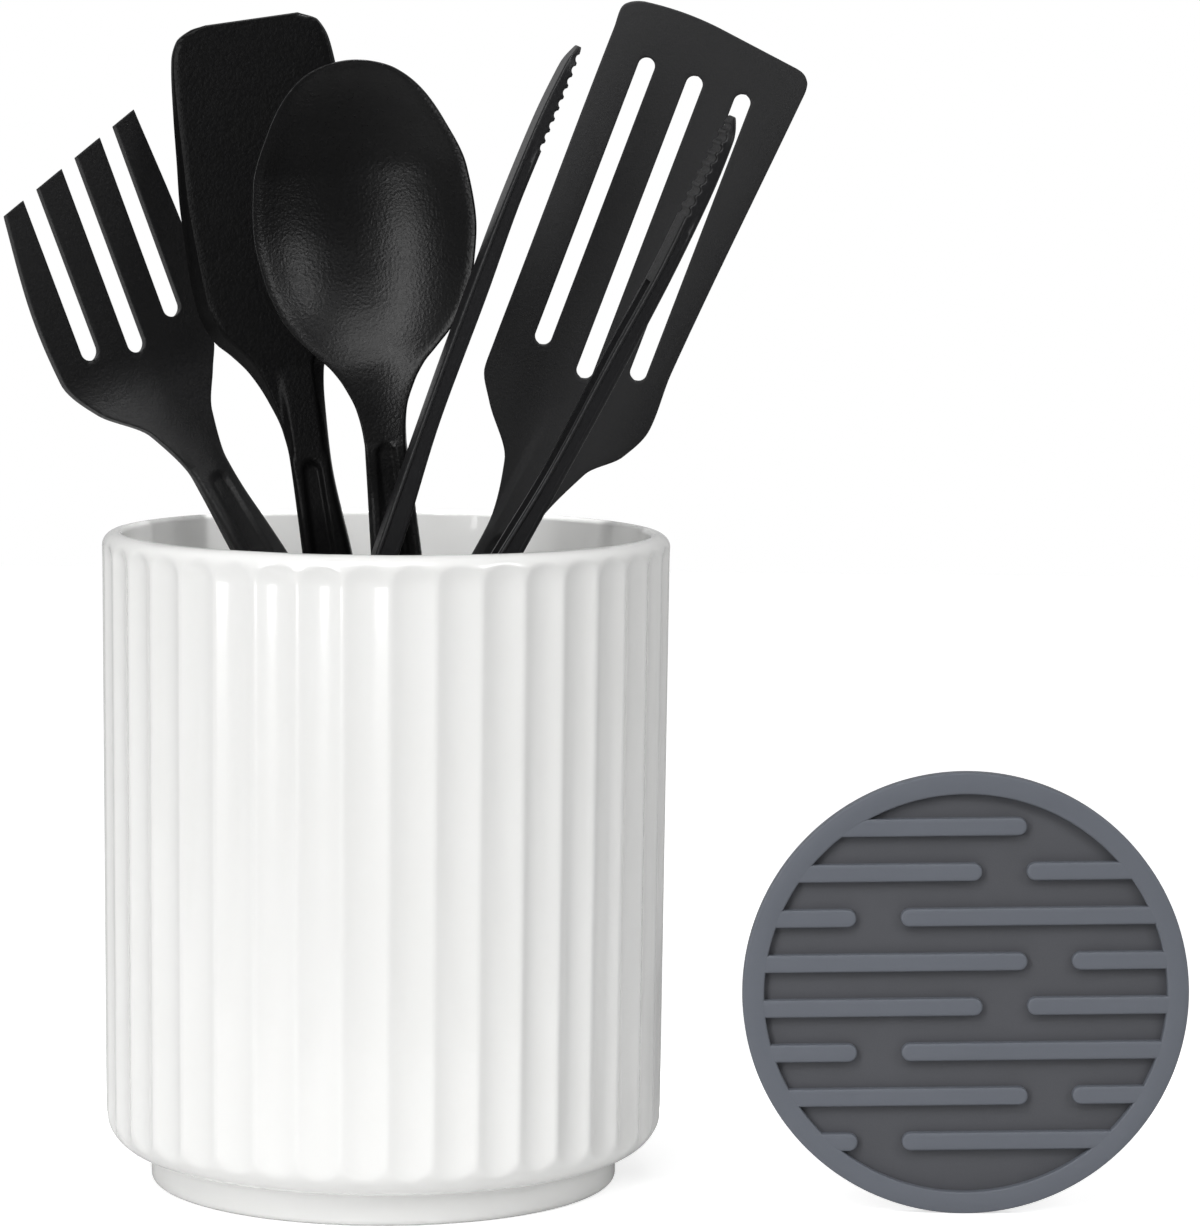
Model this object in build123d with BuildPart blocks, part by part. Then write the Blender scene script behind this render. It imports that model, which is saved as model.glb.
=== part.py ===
"""Fluted stoneware utensil crock with five nylon kitchen tools and a silicone mat, in millimetres.

The origin is the middle of the crock's foot, on the table. X runs to the right, Z up, and the
front faces -Y. Each tool stands in its own upright plane inside the crock, one plane behind
another, so that any of them lifts out along its own length.
"""
from build123d import *
import math
import os

os.makedirs("parts", exist_ok=True)

# Crock
crock_height = 177.5
crock_diameter = 154.0
crock_draft = 1.0
crock_wall = 5.5
lip_outer_share = 0.73
floor_thickness = 6.0
inner_corner_radius = 8.0
body_corner_radius = 11.0
foot_inset = 13.4
foot_height = 9.0
foot_ring_width = 7.0
foot_edge_round = 1.2
flute_count = 40
flute_depth = 1.4
flute_top_margin = 8.3
first_flute_degrees = 7.75

# Shared by the tools
seat_clearance = 0.3
handle_thickness = 6.5
handle_end_radius = 10.0
handle_rim_width = 13.6
handle_neck_width = 11.0
handle_edge_round = 1.6
handle_flat_share = 0.92
groove_depth = 1.1
groove_top_radius = 2.3
groove_end_radius = 5.2

# Spoon
spoon_foot_shares = (0.2476, -0.1399)
spoon_rim_share = 0.0344
spoon_length = 280.8
spoon_neck_height = 178.0
spoon_bowl_width = 59.8
spoon_bowl_depth = 12.0
spoon_bowl_wall = 2.2
spoon_rim_lift = 5.0
spoon_join_share = 0.2

# Solid turner
turner_foot_shares = (0.0811, 0.049)
turner_rim_share = -0.2419
turner_length = 293.5
turner_neck_height = 173.0
turner_neck_shift = -0.9
turner_shoulder_width = 53.0
turner_face_width = 45.8
turner_tip_width = 43.4
turner_tip_thickness = 1.3
turner_blade_drop = 4.2
turner_corner_radius = 9.0
turner_join_share = 0.3237
turner_thinning_share = 0.5129

# Slotted turner
slotted_foot_shares = (-0.6308, 0.1986)
slotted_rim_share = 0.4574
slotted_length = 319.0
slotted_neck_height = 168.0
slotted_head_width = 55.0
slotted_blade_thickness = 2.4
slotted_corner_radius = 5.0
slotted_join_share = 0.3662
slot_count = 3
slot_width = 4.6
slot_neck_margin = 53.5
slot_tip_margin = 14.5
slot_middle_extra = 4.6
slot_spacing = 13.9
slot_tilt = 6.6
slot_centre_x = -6.5

# Fork
fork_foot_shares = (0.6028, 0.3846)
fork_rim_share = -0.581
fork_turn = 28.0
fork_length = 287.0
fork_neck_height = 189.0
fork_neck_shift = -1.0
fork_head_width = 51.0
fork_head_shift = -3.7
fork_tip_width = 45.7
fork_tip_rise = 8.6
fork_blade_thickness = 3.0
fork_join_share = 0.2507
fork_bend_share = 0.3571
fork_gap_share = 0.4469
fork_bend_degrees = 22.0
fork_bend_radius = 40.0
fork_gap_count = 3
fork_gap_width = 5.6
fork_gap_spacing = 13.7
fork_gap_middle_extra = 4.0

# Tongs
tongs_heel_shares = (-0.7077, -0.3497)
tongs_rim_share = 0.2513
tongs_heel_drop = 5.0
tongs_turn = 5.0
tongs_length = 298.2
tongs_closing_degrees = 7.94
tongs_width = 17.0
tongs_head_width = 21.0
tongs_thickness = 5.6
tongs_web = 2.0
tongs_flange = 2.2
tongs_barrel_radius = 6.5
tooth_count = 9
tooth_pitch = 3.1
tooth_depth = 0.7
pin_radius = 2.2
pin_head_radius = 3.6
pin_head_height = 1.2
pin_clearance = 0.1
hinge_clearance = 0.4
outer_ear_width = 3.5
inner_ear_width = 2.1
ear_clearance = 0.2
spring_slot_height = 18.0
channel_top_share = 0.837
spring_wire_radius = 0.5
spring_coil_radius = 3.1
spring_pitch = 1.4
spring_turns = 2.5
spring_leg = 7.5
spring_leg_lean = 9.0

# Silicone mat, standing on its edge to the right of the crock
mat_x = 156.0
mat_y = -39.0
mat_diameter = 118.5
mat_base_thickness = 2.0
mat_relief = 2.5
mat_ring_width = 5.8
mat_bar_width = 4.7
mat_bar_spacing = 12.05
mat_bar_rows = 8
mat_gap_half_width = 5.9
mat_top_row = 44.7
mat_pattern_tilt = 1.2

# Worked out from the sizes above
crock_radius = crock_diameter / 2
crock_low_radius = crock_radius - crock_draft
crock_inner_radius = crock_radius - crock_wall
flute_half_width = math.pi * crock_radius / flute_count
flute_radius = (flute_half_width**2 + flute_depth**2) / (2 * flute_depth)
lip_outer_round = crock_wall * lip_outer_share
lip_inner_round = crock_wall - lip_outer_round
lip_crest = crock_radius - lip_outer_round
foot_radius = crock_radius - foot_inset
floor_height = foot_height + crock_wall
foot_recess = floor_height - floor_thickness
handle_foot_height = floor_height + seat_clearance + handle_end_radius
cut_reach = crock_radius


def standing_plane(x, y, height, lean, turn):
    """Plane whose X runs across a tool, whose Y climbs along it and whose Z comes out of its face."""
    a = math.radians(lean)
    b = math.radians(turn)
    along = Vector(-math.sin(a), 0, math.cos(a))
    across = Vector(math.cos(a) * math.cos(b), math.sin(b), math.sin(a) * math.cos(b))
    return Plane(origin=(x, y, height), x_dir=across, z_dir=across.cross(along))


def lean_between(foot_shares, rim_share, foot_height):
    """Lean of a tool from its foot to where it crosses the rim, in shares of the inner radius."""
    reach = (foot_shares[0] - rim_share) * crock_inner_radius
    return math.degrees(math.atan2(reach, crock_height - foot_height))


def leaning_plane(foot_shares, rim_share, foot_height, half_thickness, turn):
    """Standing plane of a tool in the crock, raised so that its turned lower edge clears the floor."""
    lean = lean_between(foot_shares, rim_share, foot_height)
    room = half_thickness * abs(math.sin(math.radians(lean)) * math.sin(math.radians(turn)))
    x, y = (share * crock_inner_radius for share in foot_shares)
    return standing_plane(x, y, foot_height + room, lean, turn)


def side_plane(face_plane):
    """Plane that shows a tool from its side: X along the tool, Y out of its face."""
    return Plane(origin=face_plane.origin, x_dir=face_plane.y_dir, z_dir=face_plane.x_dir)


def handle_side(neck_height, neck_shift, side):
    """Long edge of a handle, from its round end up to its neck, on the side -1 or 1."""
    end = (side * handle_end_radius, 0)
    low = (side * (handle_end_radius + handle_rim_width / 2) / 2, neck_height * 0.45)
    rim = (side * handle_rim_width / 2, neck_height * 0.83)
    neck = (neck_shift + side * handle_neck_width / 2, neck_height)
    Spline(end, low, rim, neck, tangents=((0, 1), (0, 1)))
    return neck


def head_height(neck_height, length, share):
    """Height in a tool's head, from a share of its run from the neck to the tip."""
    return neck_height + share * (length - neck_height)


def outline_points(shares, width, neck_height, length):
    """Points of a head's outline, from shares of its width and of its run above the neck."""
    return [(share_x * width, head_height(neck_height, length, share_y)) for share_x, share_y in shares]


def handle_blank(plane, neck_height, neck_shift, top_height, top_front, top_back):
    """Handle with rounded long edges, thinning from near its neck up to a height in the head."""
    with BuildPart() as blank:
        with BuildSketch(plane):
            with BuildLine():
                ThreePointArc((-handle_end_radius, 0), (0, -handle_end_radius), (handle_end_radius, 0))
                left_neck = handle_side(neck_height, neck_shift, -1)
                right_neck = handle_side(neck_height, neck_shift, 1)
                Polyline(left_neck, (left_neck[0], top_height), (right_neck[0], top_height), right_neck)
            make_face()
        extrude(amount=handle_thickness / 2, both=True)
        long_edges = []
        for edge in blank.edges():
            place = plane.to_local_coords(edge.center())
            if place.Y < top_height - handle_edge_round and abs(place.Z) > handle_thickness / 4:
                long_edges.append(edge)
        fillet(long_edges, handle_edge_round)
        flat_height = neck_height * handle_flat_share
        with BuildSketch(side_plane(plane)):
            with BuildLine():
                Polyline(
                    (-2 * handle_end_radius, -handle_thickness / 2),
                    (-2 * handle_end_radius, handle_thickness / 2),
                    (flat_height, handle_thickness / 2),
                    (top_height, top_front),
                    (top_height, top_back),
                    (flat_height, -handle_thickness / 2),
                    close=True,
                )
            make_face()
        extrude(amount=cut_reach, both=True, mode=Mode.INTERSECT)
    return blank.part


def groove_cutter(plane, neck_height):
    """Body of the groove down the face of a handle, open to the front."""
    with BuildPart() as groove:
        with BuildSketch(plane.offset(handle_thickness / 2 - groove_depth)):
            with Locations((0, neck_height - groove_top_radius)):
                Circle(groove_top_radius)
            Circle(groove_end_radius)
            make_hull()
        extrude(amount=handle_thickness)
    return groove.part


# Crock: one turned body with a foot ring, a rounded lip and a ring of upright flutes
flute_bottom = foot_height + body_corner_radius
flute_top = crock_height - flute_top_margin
flute_high = crock_radius - flute_depth + flute_radius
flute_tilt = math.degrees(math.atan2(crock_draft, flute_top - flute_bottom))

with BuildPart() as flute:
    with Locations(Location((flute_high, 0, flute_top), (0, flute_tilt, 0))):
        Sphere(flute_radius)
        Cylinder(flute_radius, crock_height, align=(Align.CENTER, Align.CENTER, Align.MAX))

with BuildPart() as crock:
    with BuildSketch(Plane.XZ):
        with BuildLine():
            underside = Polyline(
                (0, floor_height),
                (0, foot_recess),
                (foot_radius - foot_ring_width, foot_recess),
                (foot_radius - foot_ring_width, 0),
                (foot_radius - foot_edge_round, 0),
            )
            RadiusArc(underside @ 1, (foot_radius, foot_edge_round), -foot_edge_round)
            Polyline(
                (foot_radius, foot_edge_round),
                (foot_radius, foot_height),
                (crock_low_radius - body_corner_radius, foot_height),
            )
            corner_centre = (crock_low_radius - body_corner_radius, foot_height + body_corner_radius)
            corner = CenterArc(corner_centre, body_corner_radius, -90, 90)
            Line(corner @ 1, (crock_radius, crock_height - lip_outer_round))
            CenterArc((lip_crest, crock_height - lip_outer_round), lip_outer_round, 0, 90)
            CenterArc((lip_crest, crock_height - lip_inner_round), lip_inner_round, 90, 90)
            Line(
                (crock_inner_radius, crock_height - lip_inner_round),
                (crock_inner_radius, floor_height + inner_corner_radius),
            )
            inner_centre = (crock_inner_radius - inner_corner_radius, floor_height + inner_corner_radius)
            CenterArc(inner_centre, inner_corner_radius, 0, -90)
            Line((crock_inner_radius - inner_corner_radius, floor_height), (0, floor_height))
        make_face()
    revolve(axis=Axis.Z)
    with PolarLocations(0, flute_count, start_angle=first_flute_degrees - 90):
        add(flute.part, mode=Mode.SUBTRACT)
crock.part.label = "crock"
export_step(crock.part, "parts/crock.step")


# Spoon: a deep egg-shaped bowl on a grooved handle
spoon_plane = leaning_plane(spoon_foot_shares, spoon_rim_share, handle_foot_height, 0, 0)
spoon_bowl_shares = ((0.53, 0.24), (0.85, 0.365), (1.0, 0.57), (0.79, 0.83), (0.40, 0.97))
spoon_half_width = spoon_bowl_width / 2
spoon_join_height = head_height(spoon_neck_height, spoon_length, spoon_join_share)
spoon_axis_lift = (spoon_half_width**2 - spoon_bowl_depth**2) / (2 * spoon_bowl_depth)
spoon_axis_height = spoon_rim_lift + spoon_axis_lift
spoon_axis = Axis((spoon_plane.offset(spoon_axis_height)).origin, spoon_plane.y_dir)


def bowl_section(wall):
    """Half of the turned bowl body, from its keel line up to the axis far above the rim."""
    low = spoon_neck_height + 3 * wall
    high = spoon_length
    keel = [(low, handle_neck_width / 2)]
    keel += [
        (spoon_neck_height + y * (high - spoon_neck_height), x * spoon_half_width)
        for x, y in spoon_bowl_shares
    ]
    keel += [(high, 0)]
    points = []
    for height, half_width in keel:
        radius = math.hypot(half_width, spoon_axis_lift) - wall
        points.append((height, spoon_axis_height - radius))
    Spline(points)
    Polyline(points[-1], (high, spoon_axis_height), (low, spoon_axis_height), points[0])


with BuildPart() as spoon:
    add(
        handle_blank(
            spoon_plane,
            spoon_neck_height,
            0,
            spoon_join_height,
            handle_thickness / 2,
            spoon_rim_lift - spoon_bowl_depth * 0.6,
        )
    )
    with BuildSketch(side_plane(spoon_plane)):
        with BuildLine():
            spoon_flat_height = spoon_neck_height * handle_flat_share
            Polyline(
                (spoon_flat_height, 0),
                (spoon_flat_height, handle_thickness / 2),
                (spoon_join_height, spoon_rim_lift + spoon_bowl_depth / 3),
                (spoon_join_height, 0),
                close=True,
            )
        make_face()
    extrude(amount=handle_neck_width / 2, both=True)
    with BuildSketch(side_plane(spoon_plane)):
        with BuildLine():
            bowl_section(0)
        make_face()
    revolve(axis=spoon_axis)
    split(bisect_by=spoon_plane.offset(spoon_rim_lift), keep=Keep.BOTTOM)
    with BuildSketch(side_plane(spoon_plane)):
        with BuildLine():
            bowl_section(spoon_bowl_wall)
        make_face()
    revolve(axis=spoon_axis, mode=Mode.SUBTRACT)
    add(groove_cutter(spoon_plane, spoon_neck_height), mode=Mode.SUBTRACT)
spoon.part.label = "spoon"
export_step(spoon.part, "parts/spoon.step")


# Solid turner: a flat face with sloping flanks that deepen from the tip to the neck
turner_plane = leaning_plane(turner_foot_shares, turner_rim_share, handle_foot_height, 0, 0)
turner_join_height = head_height(turner_neck_height, turner_length, turner_join_share)
turner_thinning_height = head_height(turner_neck_height, turner_length, turner_thinning_share)
turner_left_shares = ((-0.27, 0.2157), (-0.413, 0.2912), (-0.5, 0.4763))
turner_right_shares = ((0.11, 0.1889), (0.33, 0.3058), (0.5, 0.5129))

with BuildPart() as turner_head:
    with BuildSketch(turner_plane):
        with BuildLine():
            necks = []
            for side, shares in ((-1, turner_left_shares), (1, turner_right_shares)):
                neck_reach = handle_neck_width / 2 - handle_edge_round
                neck = (turner_neck_shift + side * neck_reach, turner_neck_height)
                shoulder = outline_points(shares, turner_shoulder_width, turner_neck_height, turner_length)
                Spline([neck] + shoulder, tangents=((0, 1), (0, 1)))
                Line(shoulder[-1], (side * turner_tip_width / 2, turner_length))
                necks.append(neck)
            Line(necks[0], necks[1])
            Line((-turner_tip_width / 2, turner_length), (turner_tip_width / 2, turner_length))
        make_face()
        fillet(vertices().group_by(Axis.Y)[-1], turner_corner_radius)
    extrude(amount=handle_end_radius, both=True)
    with BuildSketch(side_plane(turner_plane)):
        with BuildLine():
            Polyline(
                (turner_neck_height, -handle_thickness / 2),
                (turner_neck_height, 0),
                (turner_length, 0),
                (turner_length, -turner_tip_thickness),
                (turner_thinning_height, -turner_blade_drop),
                (turner_join_height, -turner_blade_drop),
                close=True,
            )
        make_face()
    extrude(amount=cut_reach, both=True, mode=Mode.INTERSECT)
    with BuildSketch(Plane(turner_plane.origin, x_dir=turner_plane.x_dir, z_dir=-turner_plane.y_dir)):
        with BuildLine():
            Polyline(
                (-turner_face_width / 2, 0),
                (turner_face_width / 2, 0),
                (turner_shoulder_width / 2, -turner_blade_drop),
                (-turner_shoulder_width / 2, -turner_blade_drop),
                close=True,
            )
        make_face()
    extrude(amount=2 * turner_length, both=True, mode=Mode.INTERSECT)

with BuildPart() as turner:
    add(
        handle_blank(
            turner_plane,
            turner_neck_height,
            turner_neck_shift,
            turner_join_height,
            -turner_blade_drop / 4,
            -turner_blade_drop * 0.6,
        )
    )
    add(turner_head.part)
    add(groove_cutter(turner_plane, turner_neck_height), mode=Mode.SUBTRACT)
turner.part.label = "solid_turner"
export_step(turner.part, "parts/solid_turner.step")


# Slotted turner: a thin blade with three slots, set at a slight angle to its handle
slotted_plane = leaning_plane(slotted_foot_shares, slotted_rim_share, handle_foot_height, 0, 0)
slot_length = slotted_length - slotted_neck_height - slot_neck_margin - slot_tip_margin
slot_centre_height = slotted_neck_height + slot_neck_margin + slot_length / 2
slotted_left_shares = ((-0.176, 0.1296), (-0.375, 0.2099), (-0.475, 0.2606), (-0.489, 0.3134))
slotted_right_shares = ((0.165, 0.1191), (0.27, 0.2078), (0.378, 0.2543), (0.366, 0.3874))
slotted_top_shares = ((-0.698, 0.9683), (-0.2, 0.9979), (0.302, 1.0))

with BuildPart() as slotted:
    add(
        handle_blank(
            slotted_plane,
            slotted_neck_height,
            0,
            head_height(slotted_neck_height, slotted_length, slotted_join_share),
            slotted_blade_thickness / 4,
            -slotted_blade_thickness / 4,
        )
    )
    with BuildSketch(slotted_plane):
        with BuildLine():
            left_shoulder, right_shoulder, top = (
                outline_points(shares, slotted_head_width, slotted_neck_height, slotted_length)
                for shares in (slotted_left_shares, slotted_right_shares, slotted_top_shares)
            )
            left_neck = (-handle_neck_width / 2, slotted_neck_height)
            right_neck = (handle_neck_width / 2, slotted_neck_height)
            Spline([left_neck] + left_shoulder, tangents=((0, 1), (-0.12, 1)))
            Spline([right_neck] + right_shoulder, tangents=((0, 1), (-0.04, 1)))
            Line(left_neck, right_neck)
            Line(left_shoulder[-1], top[0])
            Line(right_shoulder[-1], top[-1])
            ThreePointArc(*top)
        make_face()
        fillet(vertices().sort_by(Axis.Y)[-2:], slotted_corner_radius)
    extrude(amount=slotted_blade_thickness / 2, both=True)
    with BuildSketch(slotted_plane):
        with Locations(Location((slot_centre_x, slot_centre_height), slot_tilt)):
            for number in range(slot_count):
                place = number - (slot_count - 1) / 2
                extra = 0 if place else slot_middle_extra
                with Locations((place * slot_spacing, -extra / 2)):
                    SlotOverall(slot_length + extra, slot_width, rotation=90)
    extrude(amount=handle_thickness, both=True, mode=Mode.SUBTRACT)
    add(groove_cutter(slotted_plane, slotted_neck_height), mode=Mode.SUBTRACT)
slotted.part.label = "slotted_turner"
export_step(slotted.part, "parts/slotted_turner.step")


# Fork: four tines on a head that bends forward, with a slanted tip
handle_flat_half = handle_thickness / 2 - handle_edge_round
fork_plane = leaning_plane(fork_foot_shares, fork_rim_share, handle_foot_height, handle_flat_half, fork_turn)
fork_bend_height = head_height(fork_neck_height, fork_length, fork_bend_share)
fork_gap_bottom = head_height(fork_neck_height, fork_length, fork_gap_share)
fork_left_shares = ((-0.22, 0.18), (-0.433, 0.3059), (-0.551, 0.4319), (-0.569, 0.5841))
fork_right_shares = ((0.11, 0.1009), (0.27, 0.2649), (0.39, 0.385), (0.424, 0.5841))

with BuildPart() as fork_head:
    with BuildSketch(fork_plane):
        with BuildLine():
            left_shoulder, right_shoulder = (
                outline_points(shares, fork_head_width, fork_neck_height, fork_length)
                for shares in (fork_left_shares, fork_right_shares)
            )
            left_neck = (fork_neck_shift - handle_neck_width / 2, fork_neck_height)
            right_neck = (fork_neck_shift + handle_neck_width / 2, fork_neck_height)
            Spline([left_neck] + left_shoulder, tangents=((0, 1), (0, 1)))
            Spline([right_neck] + right_shoulder, tangents=((0, 1), (0, 1)))
            Line(left_neck, right_neck)
            Polyline(
                left_shoulder[-1],
                (fork_head_shift - fork_tip_width / 2, fork_length - fork_tip_rise),
                (fork_head_shift + fork_tip_width / 2, fork_length),
                right_shoulder[-1],
            )
        make_face()
    extrude(amount=cut_reach, both=True)
    bend = math.radians(fork_bend_degrees)
    with BuildSketch(side_plane(fork_plane)):
        with BuildLine():
            ends = []
            for side in (1, -1):
                half = side * fork_blade_thickness / 2
                low = (fork_neck_height, half)
                root = (fork_bend_height - half * math.tan(bend / 2), half)
                reach = fork_length - fork_bend_height + fork_tip_rise
                tip = (root[0] + reach * math.cos(bend), root[1] + reach * math.sin(bend))
                FilletPolyline(low, root, tip, radius=fork_bend_radius - half)
                ends.append((low, tip))
            Line(ends[0][0], ends[1][0])
            Line(ends[0][1], ends[1][1])
        make_face()
    extrude(amount=cut_reach, both=True, mode=Mode.INTERSECT)
    with BuildSketch(fork_plane):
        for number in range(fork_gap_count):
            place = number - (fork_gap_count - 1) / 2
            extra = 0 if place else fork_gap_middle_extra
            bottom = fork_gap_bottom - extra + fork_gap_width / 2
            with Locations((fork_head_shift + place * fork_gap_spacing, bottom)):
                Circle(fork_gap_width / 2)
                Rectangle(fork_gap_width, fork_length, align=(Align.CENTER, Align.MIN))
    extrude(amount=cut_reach, both=True, mode=Mode.SUBTRACT)

with BuildPart() as fork:
    add(
        handle_blank(
            fork_plane,
            fork_neck_height,
            fork_neck_shift,
            head_height(fork_neck_height, fork_length, fork_join_share),
            fork_blade_thickness / 4,
            -fork_blade_thickness / 4,
        )
    )
    add(fork_head.part)
    add(groove_cutter(fork_plane, fork_neck_height), mode=Mode.SUBTRACT)
fork.part.label = "fork"
export_step(fork.part, "parts/fork.step")




# Tongs: two channelled arms on a pin at the foot, held open by a wire spring
heel_height = floor_height + seat_clearance + tongs_barrel_radius
tongs_heel = leaning_plane(tongs_heel_shares, tongs_rim_share, heel_height, tongs_width / 2, tongs_turn)
tongs_plane = Plane(
    tongs_heel.origin + tongs_heel.y_dir * tongs_heel_drop, x_dir=tongs_heel.x_dir, z_dir=tongs_heel.z_dir
)
tongs_spread = math.tan(math.radians(tongs_closing_degrees / 2))
inner_shares = (
    (0.04, 0.09), (0.39, 0.09), (0.527, 0.09), (0.654, 0.43),
    (0.766, 0.41), (0.863, 0.45), (0.95, 0.25), (1.0, 0.2),
)
outer_shares = (
    (0.186, 0.95), (0.385, 1.0), (0.57, 1.2), (0.74, 1.27),
    (0.878, 1.16), (0.93, 1.02), (0.98, 0.73), (1.0, 0.4),
)
pivot_clear_radius = tongs_barrel_radius + hinge_clearance
outer_ear_reach = tongs_width / 2 - outer_ear_width
inner_ear_reach = outer_ear_reach - ear_clearance - inner_ear_width


def arm_points(shares, inset):
    """Points of the right arm's long edge, from shares of the length and of the thickness."""
    points = []
    for height_share, thickness_share in shares:
        height = height_share * tongs_length
        reach = height * tongs_spread + thickness_share * tongs_thickness - inset
        points.append((reach, height))
    return points


def inner_reach(height):
    """Distance of the gripping edge from the middle line at a height."""
    points = arm_points(inner_shares, 0)
    for low, high in zip(points, points[1:]):
        if low[1] <= height <= high[1]:
            return low[0] + (high[0] - low[0]) * (height - low[1]) / (high[1] - low[1])
    return points[0][0]


def right_arm(ear_reach, ear_width, hole_radius, heel_drop):
    """Arm on the right of the middle line: a channel with a broad toothed head and two ears."""
    inner = arm_points(inner_shares, 0)
    outer = [(tongs_barrel_radius, 0)] + arm_points(outer_shares, 0)
    pocket = arm_points(outer_shares, tongs_web)
    with BuildPart() as arm:
        with BuildSketch(tongs_plane):
            with BuildLine():
                Spline(inner)
                Spline(outer)
                Line(inner[-1], outer[-1])
                Polyline(inner[0], (0, 0), outer[0])
            make_face()
        extrude(amount=tongs_head_width / 2, both=True)
        with BuildSketch(side_plane(tongs_plane)):
            with BuildLine():
                narrow_top = tongs_length * 0.654
                wide_bottom = tongs_length * 0.837
                Polyline(
                    (wide_bottom, -tongs_head_width / 2),
                    (narrow_top, -tongs_width / 2),
                    (-tongs_barrel_radius, -tongs_width / 2),
                    (-tongs_barrel_radius, tongs_width / 2),
                    (narrow_top, tongs_width / 2),
                    (wide_bottom, tongs_head_width / 2),
                )
                FilletPolyline(
                    (wide_bottom, tongs_head_width / 2),
                    (tongs_length, tongs_head_width / 2),
                    (tongs_length, -tongs_head_width / 2),
                    (wide_bottom, -tongs_head_width / 2),
                    radius=tongs_head_width * 0.38,
                )
            make_face()
        extrude(amount=cut_reach, both=True, mode=Mode.INTERSECT)
        with BuildSketch(tongs_plane):
            Circle(pivot_clear_radius)
        extrude(amount=tongs_width, both=True, mode=Mode.SUBTRACT)
        for facing in (-1, 1):
            with BuildSketch(tongs_plane.offset(facing * ear_reach)):
                Circle(tongs_barrel_radius)
                if heel_drop:
                    with Locations((0, -heel_drop)):
                        Circle(tongs_barrel_radius)
                    Rectangle(2 * tongs_barrel_radius, heel_drop, align=(Align.CENTER, Align.MAX))
                with BuildLine():
                    Polyline(
                        (0, 0),
                        (tongs_barrel_radius, 0),
                        (tongs_barrel_radius, 2 * tongs_barrel_radius),
                        inner[0],
                        close=True,
                    )
                make_face()
            extrude(amount=facing * ear_width)
        with BuildSketch(tongs_plane):
            with BuildLine():
                Spline(pocket)
                Line(pocket[0], (0, pocket[0][1]))
                Line(pocket[-1], (0, pocket[-1][1]))
                Line((0, pocket[0][1]), (0, pocket[-1][1]))
            make_face()
            with Locations((0, channel_top_share * tongs_length)):
                Rectangle(cut_reach, cut_reach, align=(Align.CENTER, Align.MIN), mode=Mode.SUBTRACT)
        extrude(amount=tongs_width / 2 - tongs_flange, both=True, mode=Mode.SUBTRACT)
        with BuildSketch(tongs_plane):
            spring_room = tongs_barrel_radius - spring_wire_radius
            Rectangle(spring_room, spring_slot_height, align=(Align.MIN, Align.MIN))
        extrude(amount=inner_ear_reach, both=True, mode=Mode.SUBTRACT)
        with BuildSketch(tongs_plane):
            Circle(hole_radius)
            for number in range(tooth_count):
                height = tongs_length - (number + 1) * tooth_pitch
                scallop_radius = tooth_pitch * 0.42
                with Locations((inner_reach(height) - scallop_radius + tooth_depth, height)):
                    Circle(scallop_radius)
        extrude(amount=tongs_head_width, both=True, mode=Mode.SUBTRACT)
    return arm.part


with BuildPart() as tongs_right_arm:
    add(right_arm(inner_ear_reach, inner_ear_width, pin_radius + hinge_clearance, 0))
tongs_right_arm.part.label = "tongs_right_arm"
export_step(tongs_right_arm.part, "parts/tongs_right_arm.step")

with BuildPart() as tongs_left_arm:
    middle = Plane(tongs_plane.origin, x_dir=tongs_plane.y_dir, z_dir=tongs_plane.x_dir)
    arm_body = right_arm(outer_ear_reach, outer_ear_width, pin_radius + pin_clearance, tongs_heel_drop)
    add(mirror(arm_body, about=middle, mode=Mode.PRIVATE))
tongs_left_arm.part.label = "tongs_left_arm"
export_step(tongs_left_arm.part, "parts/tongs_left_arm.step")

with BuildPart() as tongs_pin:
    with BuildSketch(tongs_plane):
        Circle(pin_radius)
    extrude(amount=tongs_width / 2 + pin_clearance, both=True)
    for facing in (-1, 1):
        with BuildSketch(tongs_plane.offset(facing * (tongs_width / 2 + pin_clearance))):
            Circle(pin_head_radius)
        extrude(amount=facing * pin_head_height)
tongs_pin.part.label = "tongs_pin"
export_step(tongs_pin.part, "parts/tongs_pin.step")

spring_half = spring_pitch * spring_turns / 2
with BuildPart() as spring_shape:
    with BuildLine() as spring_line:
        Helix(
            spring_pitch,
            2 * spring_half,
            spring_coil_radius,
            center=(0, 0, -spring_half),
            lefthand=True,
        )
    coil = spring_line.wires()[0]
    with BuildSketch(Plane(origin=coil @ 0, z_dir=coil % 0)):
        Circle(spring_wire_radius)
    sweep(path=coil, is_frenet=True)
    for side, height in ((1, -spring_half), (-1, spring_half)):
        lean = math.radians(spring_leg_lean if side > 0 else 0)
        leg_direction = (-math.sin(lean), math.cos(lean), 0)
        leg_plane = Plane(origin=(side * spring_coil_radius, 0, height), z_dir=leg_direction)
        with BuildSketch(leg_plane):
            Circle(spring_wire_radius)
        extrude(amount=spring_leg)
        with Locations(leg_plane):
            Sphere(spring_wire_radius)
with BuildPart() as tongs_spring:
    add(tongs_plane.from_local_coords(spring_shape.part))
tongs_spring.part.label = "tongs_spring"
export_step(tongs_spring.part, "parts/tongs_spring.step")


# Mat: a thin silicone disc with a raised ring and rows of raised bars
mat_radius = mat_diameter / 2
mat_plane = Plane(origin=(mat_x, mat_y, mat_radius), x_dir=(1, 0, 0), z_dir=(0, -1, 0))
mat_pattern_angle = math.radians(mat_pattern_tilt)
mat_pattern_plane = Plane(
    origin=mat_plane.origin,
    x_dir=(math.cos(mat_pattern_angle), 0, math.sin(mat_pattern_angle)),
    z_dir=(0, -1, 0),
)
mat_gap_shares = (0.376, 0.176, -0.388, 0.376, 0.176, -0.388, 0.376, -0.388)

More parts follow.
